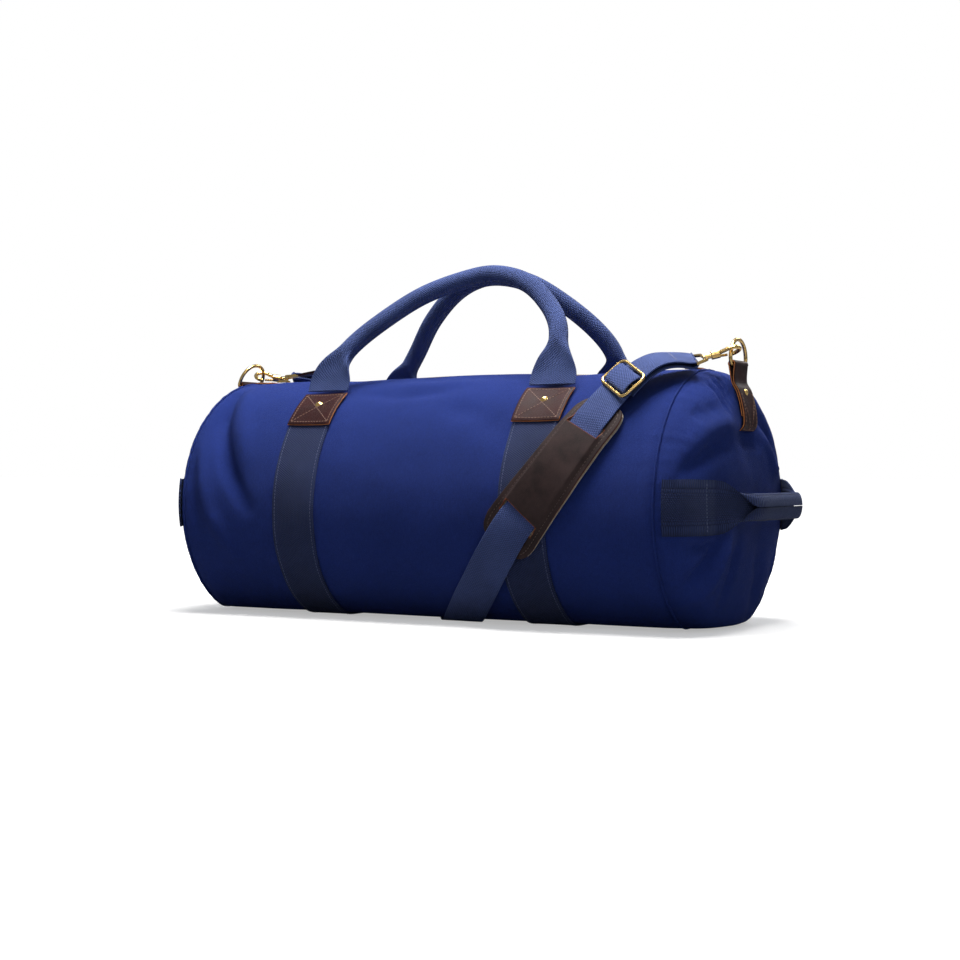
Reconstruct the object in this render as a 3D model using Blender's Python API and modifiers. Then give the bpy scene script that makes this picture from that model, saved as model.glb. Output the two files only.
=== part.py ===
"""Weekender bag: a canvas barrel bag with webbing bands, a zip, top and end handles and a shoulder strap.

Metres, +Z up. X runs along the barrel, -Y is the front, and the bag stands on its two webbing bands
at Z = 0. Angles round the barrel are in degrees from the top, growing towards the front.
"""
import math

import bmesh
import bpy
from mathutils import Matrix, Vector

# Barrel
BARREL_RADIUS = 0.1328
BARREL_AXIS_Z = 0.1183
BARREL_LENGTH = 0.550
CANVAS = 0.0020
CANVAS_BOTTOM = 0.0028
FLOOR_BLEND = 0.006
GAP = 0.0003
MID_X = -0.0165

# End panels
BULGE_LEFT = 0.015
BULGE_RIGHT = 0.048
PANEL_POWER = 2.5
WELT_RADIUS = 0.0008

# Webbing bands and leather patches
WEB_WIDTH = 0.0508
WEB_THICK = 0.0020
BAND_LEFT_X = -0.130
BAND_RIGHT_X = 0.138
BAND_START = 33.0
PATCH_TOP = 31.5
PATCH_BOTTOM = 52.0
PATCH_WIDTH = 0.053
PATCH_THICK = 0.0020
PATCH_OFFSET = WEB_THICK + 2 * GAP + PATCH_THICK / 2
RIVET_ANGLE = 39.5
RIVET_RADIUS = 0.0045
RIVET_HEIGHT = 0.0026

# Zip and mouth
SLOT_HALF_LENGTH = 0.255
FLAP_ANGLE = 17.8
FLAP_EDGE_Y = 0.0048
ZIP_HALF_LENGTH = 0.250
TAPE_THICK = 0.0008
TAPE_INNER_Y = 0.0046
TAPE_OUTER_Y = 0.0165
TEETH_INNER_Y = 0.0010
TEETH_OUTER_Y = 0.0044
TEETH_THICK = 0.0024
TEETH_DEPTH = 0.0012
SLIDER_X = -0.240
SLIDER_TOP = BARREL_AXIS_Z + BARREL_RADIUS + 0.0004
PULL_TILT = 8.0

# Top handles
HANDLE_HINGE_ANGLE = 30.2
HANDLE_HINGE_OFFSET = 0.0045
HANDLE_TUBE = 0.0115
HANDLE_GATHER = 0.045

# End handles
GRAB_FLAT_Y = 0.094
GRAB_ROOT_Y = 0.0795
GRAB_SEAM_Y = 0.121
GRAB_GRIP_Y = 0.0780
GRAB_LIFT = 0.0085
GRAB_STAND = 0.023

# Rings and their leather tabs
RING_HALF_WIDTH = 0.0195
RING_HEIGHT = 0.0245
RING_CORNER = 0.006
RING_WIRE = 0.0019
TAB_WIDTH = 0.034
TAB_THICK = 0.0018
RING_RIGHT = Vector((0.3045, 0.0, 0.2545))
RING_LEFT = Vector((-0.2880, 0.0, 0.2495))
RING_LEFT_LEAN = 25.0
RING_RIGHT_LEAN = 0.0
HOOK_ON_RING = 160.0

# Shoulder strap
STRAP_WIDTH = 0.038
STRAP_THICK = 0.0018
STRAP_FLOOR = 0.0010
HOOK_LENGTH = 0.038
PAD_HALF_WIDTH = 0.0292
PAD_START = 45.5
PAD_END = 105.5
PAD_SLIT = 9.0
PAD_SLIT_OPENING = 4.0
FELT_THICK = 0.0030
FELT_OFFSET = WEB_THICK + 2 * GAP + FELT_THICK / 2
LEATHER_THICK = 0.0018
LEATHER_LOW = 0.0068
LEATHER_HIGH = 0.0092

# Smaller sizes. An outline is half its length, half its width and its corner's radius.
ZIP_END_INNER = 0.2570
ZIP_END_OUTER = 0.2690
ZIP_END_ANGLE = 6.0
ZIP_END_THICK = 0.0012
SLIDER_LENGTH = 0.0160
SLIDER_PLATE = 0.0022
SLIDER_BRIDGE = 0.0046
SLIDER_BRIDGE_WIDTH = 0.0038
SLIDER_WINGS = (0.0072, 0.0050, 0.0030)
SLIDER_WINGS_THICK = 0.0014
SLIDER_WINGS_RISE = 0.0009
PULL_AXIS_X = 0.0012
PULL_AXIS_Z = 0.0018
PULL_OUTLINE = (0.0115, 0.0042, 0.0015)
PULL_CENTRE = 0.0104
PULL_HOLE = (0.0052, 0.0026, 0.0008)
PULL_HOLE_CENTRE = 0.0063
PULL_THICK = 0.0015
PULL_TAB_OUTLINE = (0.0190, 0.0065, 0.0030)
PULL_TAB_CENTRE = 0.0415
PULL_TAB_THICK = 0.0026
PANEL_CANVAS = 0.0018
SQUARENESS = 0.8
HANDLE_FLAT = 0.012
HANDLE_FLAT_DEPTH = 0.0014
HANDLE_TUBE_DEPTH = HANDLE_TUBE * 0.92
GRAB_ROOT_RISE = GRAB_LIFT - 0.0016
GRAB_ROOT_NARROWING = 0.14
GRAB_PLAY = 0.0006
GRIP_CURVE = 2.6
GRIP_GATHER = 0.42
GRIP_ROOT_HEIGHT = 0.0195
GRIP_HEIGHT = 0.0120
GRIP_ROOT_DEPTH = 0.0011
GRIP_DEPTH = 0.0050
RING_BAR_CORNER = 0.0028
TAB_PLAY = 0.0004
TAB_OFFSET = 0.0012
TAB_FOOT_Z = 0.190
TAB_DOUBLE_Z = 0.210
TAB_LEAVE_Z = 0.2360
TAB_RIVET_Z = 0.2285
TAB_RIVET_RADIUS = 0.0036
TAB_RIVET_HEIGHT = 0.00208
HOOK_ALONG_X = 0.830
HOOK_ALONG_Y = 0.530
HOOK_CLIMB_RIGHT = 0.240
HOOK_CLIMB_LEFT = 0.130
HOOK_LOOP = 0.0085
HOOK_WIRE = 0.0021
HOOK_SHANK_RADIUS = 0.0042
HOOK_FOOT_X = -0.0195
HOOK_NECK_X = -0.0115
GATE_WIRE = 0.0013
EYE_PLAY = 0.0030
EYE_DEPTH = 0.0110
EYE_HEAD_SHARE = 0.62
EYE_WIRE = 0.0017
SWIVEL_RADIUS = 0.0026
ROUTE_TOLERANCE = 1e-9
STRAP_END = 0.30
STRAP_FOLD = 0.0052
RETURN_ANGLE = 37.0
BUCKLE_ANGLE = 35.0
BUCKLE_OUTLINE = (0.0150, 0.0235, 0.0060)
BUCKLE_HOLE = (0.0052, 0.0198, 0.0025)
BUCKLE_HOLE_X = 0.0067
BUCKLE_THICK = 0.0026
BUCKLE_LIFT = 0.0042
PAD_ROUNDED = 0.12
PAD_END_SHARE = 0.62
PAD_RAISED_HALF = 0.0203
PAD_LOW_HALF = 0.0230
FELT_INSET = 0.0008

# The strap's route from the right hook, down the front, under the barrel and up the back to the
# left hook: angle round the barrel, place along it, height of the strap's middle over the canvas.
STRAP_ROUTE = [
    (15.3, 0.2734, 0.0119),
    (19.0, 0.2610, 0.0134),
    (23.2, 0.2500, 0.0142),
    (29.0, 0.2360, 0.0134),
    (36.0, 0.2215, 0.0112),
    (42.0, 0.2140, 0.0096),
    (50.0, 0.2060, 0.0092),
    (54.0, 0.2013, 0.0091),
    (58.5, 0.1955, 0.0071),
    (68.0, 0.1830, 0.0070),
    (78.0, 0.1680, 0.0070),
    (87.0, 0.1523, 0.0070),
    (92.5, 0.1422, 0.0071),
    (97.5, 0.1325, 0.0091),
    (106.0, 0.1170, 0.0091),
    (113.0, 0.1035, 0.0062),
    (123.0, 0.0850, 0.0042),
    (134.0, 0.0640, 0.0036),
    (145.0, 0.0440, 0.0036),
    (155.0, 0.0270, 0.0026),
    (167.0, 0.0085, 0.0020),
    (180.0, -0.0090, 0.0020),
    (193.0, -0.0265, 0.0020),
    (205.0, -0.0440, 0.0026),
    (215.0, -0.0595, 0.0036),
    (224.0, -0.0735, 0.0038),
    (234.0, -0.0895, 0.0043),
    (248.0, -0.1115, 0.0043),
    (264.0, -0.1345, 0.0043),
    (280.0, -0.1560, 0.0043),
    (296.0, -0.1740, 0.0048),
    (312.0, -0.1890, 0.0060),
    (324.0, -0.2010, 0.0078),
    (332.0, -0.2130, 0.0096),
    (338.5, -0.2290, 0.0108),
    (344.3, -0.2510, 0.0100),
]

# The middle lines of the two top handles, from the left root to the right root.
HANDLE_FRONT = [
    (-0.1300, -0.0691, 0.2367),
    (-0.1270, -0.0610, 0.2600),
    (-0.1120, -0.0480, 0.2860),
    (-0.0820, -0.0320, 0.3130),
    (-0.0440, -0.0160, 0.3380),
    (0.0000, -0.0050, 0.3530),
    (0.0360, -0.0020, 0.3570),
    (0.0760, -0.0090, 0.3460),
    (0.1080, -0.0230, 0.3220),
    (0.1280, -0.0380, 0.2980),
    (0.1360, -0.0540, 0.2700),
    (0.1380, -0.0691, 0.2367),
]
HANDLE_REAR = [
    (-0.1300, 0.0691, 0.2367),
    (-0.1210, 0.0700, 0.2600),
    (-0.1030, 0.0660, 0.2850),
    (-0.0740, 0.0500, 0.3160),
    (-0.0380, 0.0350, 0.3420),
    (-0.0040, 0.0250, 0.3550),
    (0.0280, 0.0225, 0.3575),
    (0.0620, 0.0260, 0.3490),
    (0.0920, 0.0370, 0.3300),
    (0.1210, 0.0520, 0.3040),
    (0.1380, 0.0640, 0.2800),
    (0.1420, 0.0700, 0.2590),
    (0.1380, 0.0691, 0.2367),
]


# ---------------------------------------------------------------- scene and materials
def clear_scene():
    for old in list(bpy.data.objects):
        bpy.data.objects.remove(old)


def new_collection(name):
    collection = bpy.data.collections.new(name)
    bpy.context.scene.collection.children.link(collection)
    return collection


def new_material(name, colour, roughness, metallic=0.0):
    material = bpy.data.materials.new(name)
    material.use_nodes = True
    shader = material.node_tree.nodes["Principled BSDF"]
    shader.inputs["Base Color"].default_value = (*colour, 1.0)
    shader.inputs["Roughness"].default_value = roughness
    shader.inputs["Metallic"].default_value = metallic
    return material


clear_scene()
BAG = new_collection("weekender_bag")
CUTTERS = new_collection("cutters")
MATERIALS = {
    "canvas": new_material("navy_canvas", (0.012, 0.030, 0.180), 0.85),
    "webbing": new_material("blue_webbing", (0.045, 0.065, 0.170), 0.80),
    "leather": new_material("brown_leather", (0.075, 0.026, 0.020), 0.50),
    "pad": new_material("dark_leather", (0.040, 0.026, 0.024), 0.60),
    "felt": new_material("tan_felt", (0.280, 0.220, 0.150), 0.95),
    "brass": new_material("brass", (0.780, 0.530, 0.190), 0.25, 1.0),
}

ROOT = bpy.data.objects.new("bag_frame", None)
ROOT.location = (MID_X, 0.0, 0.0)
BAG.objects.link(ROOT)


# ---------------------------------------------------------------- helpers
def add_object(name, mesh, slot, pivot=(0.0, 0.0, 0.0)):
    """Adds a mesh given in bag coordinates, with its origin at the pivot."""
    mesh.transform(Matrix.Translation(-Vector(pivot)))
    mesh.materials.append(MATERIALS[slot])
    mesh.shade_smooth()
    mesh.set_sharp_from_angle(angle=math.radians(35.0))
    piece = bpy.data.objects.new(name, mesh)
    piece.location = pivot
    piece.parent = ROOT
    BAG.objects.link(piece)
    return piece


def thicken(piece, thickness):
    solidify = piece.modifiers.new("thickness", "SOLIDIFY")
    solidify.thickness = thickness
    solidify.offset = 0.0
    solidify.use_even_offset = False
    return piece


def grid_mesh(name, columns, rows, point, keep=None):
    """A sheet of quads: point(u, v) places each crossing of the columns and the rows."""
    bm = bmesh.new()
    bmesh.ops.create_grid(bm, x_segments=len(columns) - 1, y_segments=len(rows) - 1, size=0.5)
    crossings = {}
    for vert in bm.verts:
        column = round((vert.co.x + 0.5) * (len(columns) - 1))
        row = round((vert.co.y + 0.5) * (len(rows) - 1))
        crossings[vert] = (columns[column], rows[row])
    dropped = []
    if keep is not None:
        for face in bm.faces:
            u = sum(crossings[corner][0] for corner in face.verts) / 4
            v = sum(crossings[corner][1] for corner in face.verts) / 4
            if not keep(u, v):
                dropped.append(face)
    for vert, (u, v) in crossings.items():
        vert.co = point(u, v)
    bmesh.ops.delete(bm, geom=dropped, context="FACES")
    bmesh.ops.remove_doubles(bm, verts=bm.verts, dist=1e-6)
    mesh = bpy.data.meshes.new(name)
    bm.to_mesh(mesh)
    bm.free()
    return mesh


def spread(start, end, count):
    return [start + (end - start) * i / count for i in range(count + 1)]


def smooth_step(t):
    t = min(max(t, 0.0), 1.0)
    return t * t * (3.0 - 2.0 * t)


def flatten(z, floor):
    """Turns a circle's lowest part into a flat base, with a soft bend on each side."""
    over = z - floor
    if over >= FLOOR_BLEND:
        return z
    if over <= -FLOOR_BLEND:
        return floor
    return floor + (over + FLOOR_BLEND) ** 2 / (4.0 * FLOOR_BLEND)


def barrel_point(angle, x, offset):
    """A point at an angle round the barrel, a height over the canvas, and a place along it."""
    turn = math.radians(angle)
    radius = BARREL_RADIUS + offset
    z = BARREL_AXIS_Z + radius * math.cos(turn)
    floor = STRAP_FLOOR if offset > 0 else CANVAS_BOTTOM - offset
    return Vector((x, -radius * math.sin(turn), flatten(z, floor)))


def barrel_angle(y, radius=BARREL_RADIUS):
    return math.degrees(math.asin(y / radius))


def panel_x(side, y, z):
    """The end panel's outer face: a cushion that swells out of the end seam."""
    bulge = BULGE_RIGHT if side > 0 else BULGE_LEFT
    radius = min(math.hypot(y, z - BARREL_AXIS_Z) / BARREL_RADIUS, 1.0)
    swell = bulge * (1.0 - radius ** PANEL_POWER) ** (1.0 / PANEL_POWER)
    return side * (BARREL_LENGTH / 2 + GAP + swell)


def panel_point(side, y, z, offset):
    step = 0.0005
    slope_y = (panel_x(side, y + step, z) - panel_x(side, y - step, z)) / (2 * step)
    slope_z = (panel_x(side, y, z + step) - panel_x(side, y, z - step)) / (2 * step)
    normal = Vector((1.0, -slope_y, -slope_z)).normalized() * side
    return Vector((panel_x(side, y, z), y, z)) + normal * offset


def spline_point(points, t):
    """A Catmull-Rom curve through the points; t counts them from 0."""
    i = min(max(int(t), 0), len(points) - 2)
    f = t - i
    p1 = Vector(points[i])
    p2 = Vector(points[i + 1])
    p0 = Vector(points[i - 1]) if i > 0 else p1 * 2 - p2
    p3 = Vector(points[i + 2]) if i + 2 < len(points) else p2 * 2 - p1
    return 0.5 * (
        2 * p1
        + (p2 - p0) * f
        + (2 * p0 - 5 * p1 + 4 * p2 - p3) * f ** 2
        + (3 * p1 - p0 - 3 * p2 + p3) * f ** 3
    )


def loft(name, rings, slot, pivot=(0.0, 0.0, 0.0)):
    """A closed solid through rings of equal point counts, capped at both ends."""
    bm = bmesh.new()
    loops = [[bm.verts.new(p) for p in ring] for ring in rings]
    count = len(loops[0])
    for low, high in zip(loops, loops[1:]):
        for i in range(count):
            j = (i + 1) % count
            bm.faces.new((low[i], low[j], high[j], high[i]))
    bm.faces.new(list(reversed(loops[0])))
    bm.faces.new(loops[-1])
    bmesh.ops.recalc_face_normals(bm, faces=bm.faces)
    mesh = bpy.data.meshes.new(name)
    bm.to_mesh(mesh)
    bm.free()
    return add_object(name, mesh, slot, pivot)


def curve_mesh(curve):
    """The welded mesh of a curve, which is then dropped."""
    holder = bpy.data.objects.new("holder", curve)
    BAG.objects.link(holder)
    evaluated = holder.evaluated_get(bpy.context.evaluated_depsgraph_get())
    mesh = bpy.data.meshes.new_from_object(evaluated)
    bpy.data.objects.remove(holder)
    bm = bmesh.new()
    bm.from_mesh(mesh)
    bmesh.ops.remove_doubles(bm, verts=bm.verts, dist=1e-6)
    bmesh.ops.recalc_face_normals(bm, faces=bm.faces)
    bm.to_mesh(mesh)
    bm.free()
    mesh.materials.clear()
    return mesh


def wire_mesh(points, radius, closed=False, sides=2):
    """A round wire along the points."""
    curve = bpy.data.curves.new("wire", "CURVE")
    curve.dimensions = "3D"
    curve.bevel_depth = radius
    curve.bevel_resolution = sides
    curve.use_fill_caps = not closed
    spline = curve.splines.new("POLY")
    spline.points.add(len(points) - 1)
    for target, point in zip(spline.points, points):
        target.co = (*point, 1.0)
    spline.use_cyclic_u = closed
    return curve_mesh(curve)


def outline_mesh(loops, thickness):
    """A flat plate in the XY plane; the first loop is its edge and the others are holes."""
    curve = bpy.data.curves.new("outline", "CURVE")
    curve.dimensions = "2D"
    curve.fill_mode = "BOTH"
    curve.extrude = thickness / 2
    for loop in loops:
        spline = curve.splines.new("POLY")
        spline.points.add(len(loop) - 1)
        for target, (x, y) in zip(spline.points, loop):
            target.co = (x, y, 0.0, 1.0)
        spline.use_cyclic_u = True
    return curve_mesh(curve)


def rounded_loop(half_x, half_y, radius, steps=4, centre=(0.0, 0.0)):
    loop = []
    for corner, (sx, sy) in enumerate(((1, 1), (-1, 1), (-1, -1), (1, -1))):
        for i in range(steps + 1):
            turn = math.radians(90.0 * corner + 90.0 * i / steps)
            x = sx * (half_x - radius) + radius * math.cos(turn)
            y = sy * (half_y - radius) + radius * math.sin(turn)
            loop.append((centre[0] + x, centre[1] + y))
    return loop


def cylinder_mesh(radius, start, end, segments=16):
    bm = bmesh.new()
    axis = Vector(end) - Vector(start)
    place = Matrix.Translation((Vector(start) + Vector(end)) / 2)
    turn = axis.to_track_quat("Z", "Y").to_matrix().to_4x4()
    bmesh.ops.create_cone(
        bm, cap_ends=True, segments=segments, radius1=radius, radius2=radius,
        depth=axis.length, matrix=place @ turn,
    )
    mesh = bpy.data.meshes.new("cylinder")
    bm.to_mesh(mesh)
    bm.free()
    return mesh


def join_by_union(piece, cutter_mesh):
    """Joins a mesh in bag coordinates to the piece with a Boolean union."""
    cutter = bpy.data.objects.new(piece.name + "_joined", cutter_mesh)
    cutter.parent = ROOT
    cutter.hide_render = True
    cutter.display_type = "WIRE"
    CUTTERS.objects.link(cutter)
    union = piece.modifiers.new("union", "BOOLEAN")
    union.operation = "UNION"
    union.object = cutter


def axes_matrix(origin, x_axis, y_axis, z_axis):
    matrix = Matrix((x_axis, y_axis, z_axis)).transposed().to_4x4()
    matrix.translation = origin
    return matrix


# ---------------------------------------------------------------- barrel, ends and bands
def make_body_shell():
    angles = spread(0.0, FLAP_ANGLE, 4)
    angles += spread(FLAP_ANGLE, 360.0 - FLAP_ANGLE, 80)[1:]
    angles += spread(360.0 - FLAP_ANGLE, 360.0, 4)[1:]
    half = BARREL_LENGTH / 2
    places = [-half, -SLOT_HALF_LENGTH, SLOT_HALF_LENGTH, half]

    def keep(angle, x):
        beside_slot = FLAP_ANGLE < angle < 360.0 - FLAP_ANGLE
        return beside_slot or abs(x) > SLOT_HALF_LENGTH

    def point(angle, x):
        return barrel_point(angle, x, -CANVAS / 2)

    mesh = grid_mesh("body_shell", angles, places, point, keep)
    thicken(add_object("body_shell", mesh, "canvas"), CANVAS)


def make_end_panel(name, side):
    bulge = BULGE_RIGHT if side > 0 else BULGE_LEFT
    power = 2.0 / PANEL_POWER

    def point(angle, rise):
        turn = math.radians(angle)
        climb = math.radians(rise)
        radius = (BARREL_RADIUS - CANVAS / 2) * max(math.cos(climb), 0.0) ** power
        swell = (bulge - CANVAS / 2) * math.sin(climb) ** power
        z = BARREL_AXIS_Z + radius * math.cos(turn)
        x = side * (BARREL_LENGTH / 2 + GAP + swell)
        return Vector((x, -radius * math.sin(turn), flatten(z, CANVAS_BOTTOM + CANVAS / 2)))

    rises = [0.0, 5.0, 12.0, 22.0, 35.0, 50.0, 66.0, 80.0, 90.0]
    mesh = grid_mesh(name, spread(0.0, 360.0, 54), rises, point)
    thicken(add_object(name, mesh, "canvas"), PANEL_CANVAS)


def make_end_welt(name, side):
    offset = 1.5 * GAP + WELT_RADIUS
    x = side * (BARREL_LENGTH / 2 - WELT_RADIUS)
    points = [barrel_point(angle, x, offset) for angle in spread(0.0, 360.0, 72)[:-1]]
    add_object(name, wire_mesh(points, WELT_RADIUS, closed=True, sides=1), "canvas")


def make_band(name, centre_x):
    offset = GAP + WEB_THICK / 2

    def point(angle, x):
        return barrel_point(angle, x, offset)

    places = [centre_x - WEB_WIDTH / 2, centre_x + WEB_WIDTH / 2]
    mesh = grid_mesh(name, spread(BAND_START, 360.0 - BAND_START, 68), places, point)
    thicken(add_object(name, mesh, "webbing"), WEB_THICK)


def make_patch(name, centre_x, front):
    def point(angle, x):
        return barrel_point(front * angle, x, PATCH_OFFSET)

    places = [centre_x - PATCH_WIDTH / 2, centre_x + PATCH_WIDTH / 2]
    mesh = grid_mesh(name, spread(PATCH_TOP, PATCH_BOTTOM, 7), places, point)
    thicken(add_object(name, mesh, "leather"), PATCH_THICK)


def dome_mesh(centre, normal, radius, height):
    """A rivet's low domed head: the upper half of a squashed sphere."""
    bm = bmesh.new()
    bmesh.ops.create_uvsphere(bm, u_segments=14, v_segments=8, radius=1.0)
    cut = bm.verts[:] + bm.edges[:] + bm.faces[:]
    bmesh.ops.bisect_plane(
        bm, geom=cut, plane_co=(0, 0, 0), plane_no=(0, 0, 1), clear_inner=True,
    )
    rim = [edge for edge in bm.edges if edge.is_boundary]
    bmesh.ops.holes_fill(bm, edges=rim)
    bmesh.ops.recalc_face_normals(bm, faces=bm.faces)
    bmesh.ops.scale(bm, vec=(radius, radius, height), verts=bm.verts)
    turn = Vector(normal).to_track_quat("Z", "Y").to_matrix().to_4x4()
    bmesh.ops.transform(bm, matrix=Matrix.Translation(centre) @ turn, verts=bm.verts)
    mesh = bpy.data.meshes.new("dome")
    bm.to_mesh(mesh)
    bm.free()
    return mesh


def make_patch_rivet(name, centre_x, front):
    foot = PATCH_OFFSET + PATCH_THICK / 2 + GAP
    angle = front * RIVET_ANGLE
    centre = barrel_point(angle, centre_x, foot)
    normal = barrel_point(angle, centre_x, foot + 0.01) - centre
    add_object(name, dome_mesh(centre, normal, RIVET_RADIUS, RIVET_HEIGHT), "brass")


# ---------------------------------------------------------------- zip and mouth
def flap_hinge(front):
    """The inner corner of the canvas at the slot's long edge, where the flap folds down."""
    return barrel_point(front * FLAP_ANGLE, 0.0, -CANVAS)


def make_mouth(name, front):
    hinge = flap_hinge(front)
    edge = FLAP_ANGLE - math.degrees(GAP / BARREL_RADIUS)
    half = SLOT_HALF_LENGTH - GAP

    def flap_point(angle, x):
        return barrel_point(front * angle, x, -CANVAS / 2)

    angles = spread(barrel_angle(FLAP_EDGE_Y), edge, 4)
    mesh = grid_mesh("mouth_flap_" + name, angles, [-half, half], flap_point)
    thicken(add_object("mouth_flap_" + name, mesh, "canvas", hinge), CANVAS)

    def tape_point(angle, x):
        return barrel_point(front * angle, x, -CANVAS - GAP - TAPE_THICK / 2)

    angles = spread(barrel_angle(TAPE_INNER_Y), barrel_angle(TAPE_OUTER_Y), 3)
    ends = [-ZIP_HALF_LENGTH, ZIP_HALF_LENGTH]
    mesh = grid_mesh("zip_tape_" + name, angles, ends, tape_point)
    thicken(add_object("zip_tape_" + name, mesh, "webbing", hinge), TAPE_THICK)

    def teeth_point(angle, x):
        return barrel_point(front * angle, x, -TEETH_DEPTH)

    angles = spread(barrel_angle(TEETH_INNER_Y), barrel_angle(TEETH_OUTER_Y), 2)
    mesh = grid_mesh("zip_teeth_" + name, angles, ends, teeth_point)
    thicken(add_object("zip_teeth_" + name, mesh, "brass", hinge), TEETH_THICK)


def make_zip_end(name, side):
    def point(angle, x):
        return barrel_point(angle, x, GAP + ZIP_END_THICK / 2)

    places = sorted((side * ZIP_END_INNER, side * ZIP_END_OUTER))
    mesh = grid_mesh(name, spread(-ZIP_END_ANGLE, ZIP_END_ANGLE, 4), places, point)
    thicken(add_object(name, mesh, "leather"), ZIP_END_THICK)


def make_zip_slider():
    """A slider's side outline, with the hole of its bridge, across the zip."""
    base = SLIDER_TOP + GAP
    length = SLIDER_LENGTH
    plate = SLIDER_PLATE
    bridge = SLIDER_BRIDGE
    edge = [
        (-length / 2, 0.0), (length / 2, 0.0), (length / 2, plate * 0.7),
        (0.0055, plate), (0.0050, plate + bridge * 0.75), (0.0030, plate + bridge),
        (-0.0030, plate + bridge), (-0.0050, plate + bridge * 0.75), (-0.0055, plate),
        (-length / 2, plate * 0.7),
    ]
    hole = [
        (0.0036, plate + 0.0001), (0.0033, plate + bridge * 0.62), (0.0020, plate + bridge * 0.76),
        (-0.0020, plate + bridge * 0.76), (-0.0033, plate + bridge * 0.62), (-0.0036, plate + 0.0001),
    ]
    mesh = outline_mesh([edge, hole], SLIDER_BRIDGE_WIDTH)
    place = axes_matrix(
        Vector((SLIDER_X, 0.0, base)), Vector((1, 0, 0)), Vector((0, 0, 1)), Vector((0, -1, 0)),
    )
    mesh.transform(place)
    piece = add_object("zip_slider", mesh, "brass", (SLIDER_X, 0.0, base))
    wings = outline_mesh([rounded_loop(*SLIDER_WINGS)], SLIDER_WINGS_THICK)
    wings.transform(Matrix.Translation((SLIDER_X, 0.0, base + SLIDER_WINGS_RISE)))
    join_by_union(piece, wings)
    return Vector((SLIDER_X + PULL_AXIS_X, 0.0, base + plate + PULL_AXIS_Z))


def make_zip_pull(axis):
    """A brass frame whose end bar lies in the bridge, and the leather tab on it."""
    frame = outline_mesh(
        [
            rounded_loop(*PULL_OUTLINE, centre=(PULL_CENTRE, 0.0)),
            rounded_loop(*PULL_HOLE, centre=(PULL_HOLE_CENTRE, 0.0)),
        ],
        PULL_THICK,
    )
    tilt = Matrix.Rotation(-math.radians(PULL_TILT), 4, "Y")
    place = Matrix.Translation(axis) @ tilt
    frame.transform(place)
    add_object("zip_pull", frame, "brass", axis)
    outline = rounded_loop(*PULL_TAB_OUTLINE, centre=(PULL_TAB_CENTRE, 0.0))
    tab = outline_mesh([outline], PULL_TAB_THICK)
    tab.transform(place)
    add_object("zip_pull_leather", tab, "leather", axis)


# ---------------------------------------------------------------- handles
def handle_hinge(front):
    return barrel_point(front * HANDLE_HINGE_ANGLE, 0.0, HANDLE_HINGE_OFFSET)


def make_handle(name, points, front):
    """Flat webbing at both roots, gathered into a rolled tube between them."""
    count = 44
    sides = 14
    centres = [spline_point(points, (len(points) - 1) * i / count) for i in range(count + 1)]
    run = [0.0]
    for a, b in zip(centres, centres[1:]):
        run.append(run[-1] + (b - a).length)
    rings = []
    previous_out = Vector((-1, 0, 0))
    for i, centre in enumerate(centres):
        before = centres[max(i - 1, 0)]
        after = centres[min(i + 1, count)]
        along = (after - before).normalized()
        outward = (previous_out - along * previous_out.dot(along)).normalized()
        previous_out = outward
        from_end = min(run[i], run[-1] - run[i])
        gather = smooth_step((from_end - HANDLE_FLAT) / HANDLE_GATHER)
        root_side = Vector((-1 if i < count / 2 else 1, 0, 0))
        side = root_side.lerp(outward, gather).normalized()
        depth = along.cross(side).normalized()
        half_width = WEB_WIDTH / 2 + (HANDLE_TUBE - WEB_WIDTH / 2) * gather
        half_depth = HANDLE_FLAT_DEPTH + (HANDLE_TUBE_DEPTH - HANDLE_FLAT_DEPTH) * gather
        ring = []
        for j in range(sides):
            turn = 2 * math.pi * j / sides
            across = math.copysign(abs(math.cos(turn)) ** SQUARENESS, math.cos(turn))
            deep = math.copysign(abs(math.sin(turn)) ** SQUARENESS, math.sin(turn))
            ring.append(centre + side * half_width * across + depth * half_depth * deep)
        rings.append(ring)
    loft("handle_" + name, rings, "webbing", handle_hinge(front))


def make_grab_root(name, side, front):
    """Webbing sewn flat from the end seam inwards, lifting off towards the grip."""
    def point(y, z):
        lift = smooth_step((GRAB_FLAT_Y - y) / (GRAB_FLAT_Y - GRAB_ROOT_Y))
        offset = GAP * 2 + WEB_THICK / 2 + GRAB_ROOT_RISE * lift
        narrow = 1.0 - GRAB_ROOT_NARROWING * lift
        height = BARREL_AXIS_Z + (z - BARREL_AXIS_Z) * narrow
        return panel_point(side, -front * y, height, offset)

    heights = spread(BARREL_AXIS_Z - WEB_WIDTH / 2, BARREL_AXIS_Z + WEB_WIDTH / 2, 6)
    mesh = grid_mesh(name, spread(GRAB_SEAM_Y, GRAB_ROOT_Y, 8), heights, point)
    thicken(add_object(name, mesh, "webbing"), WEB_THICK)


def grip_hinge(side):
    return panel_point(side, GRAB_GRIP_Y, BARREL_AXIS_Z, GRAB_LIFT + GRAB_PLAY) * Vector((1, 0, 1))


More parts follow.
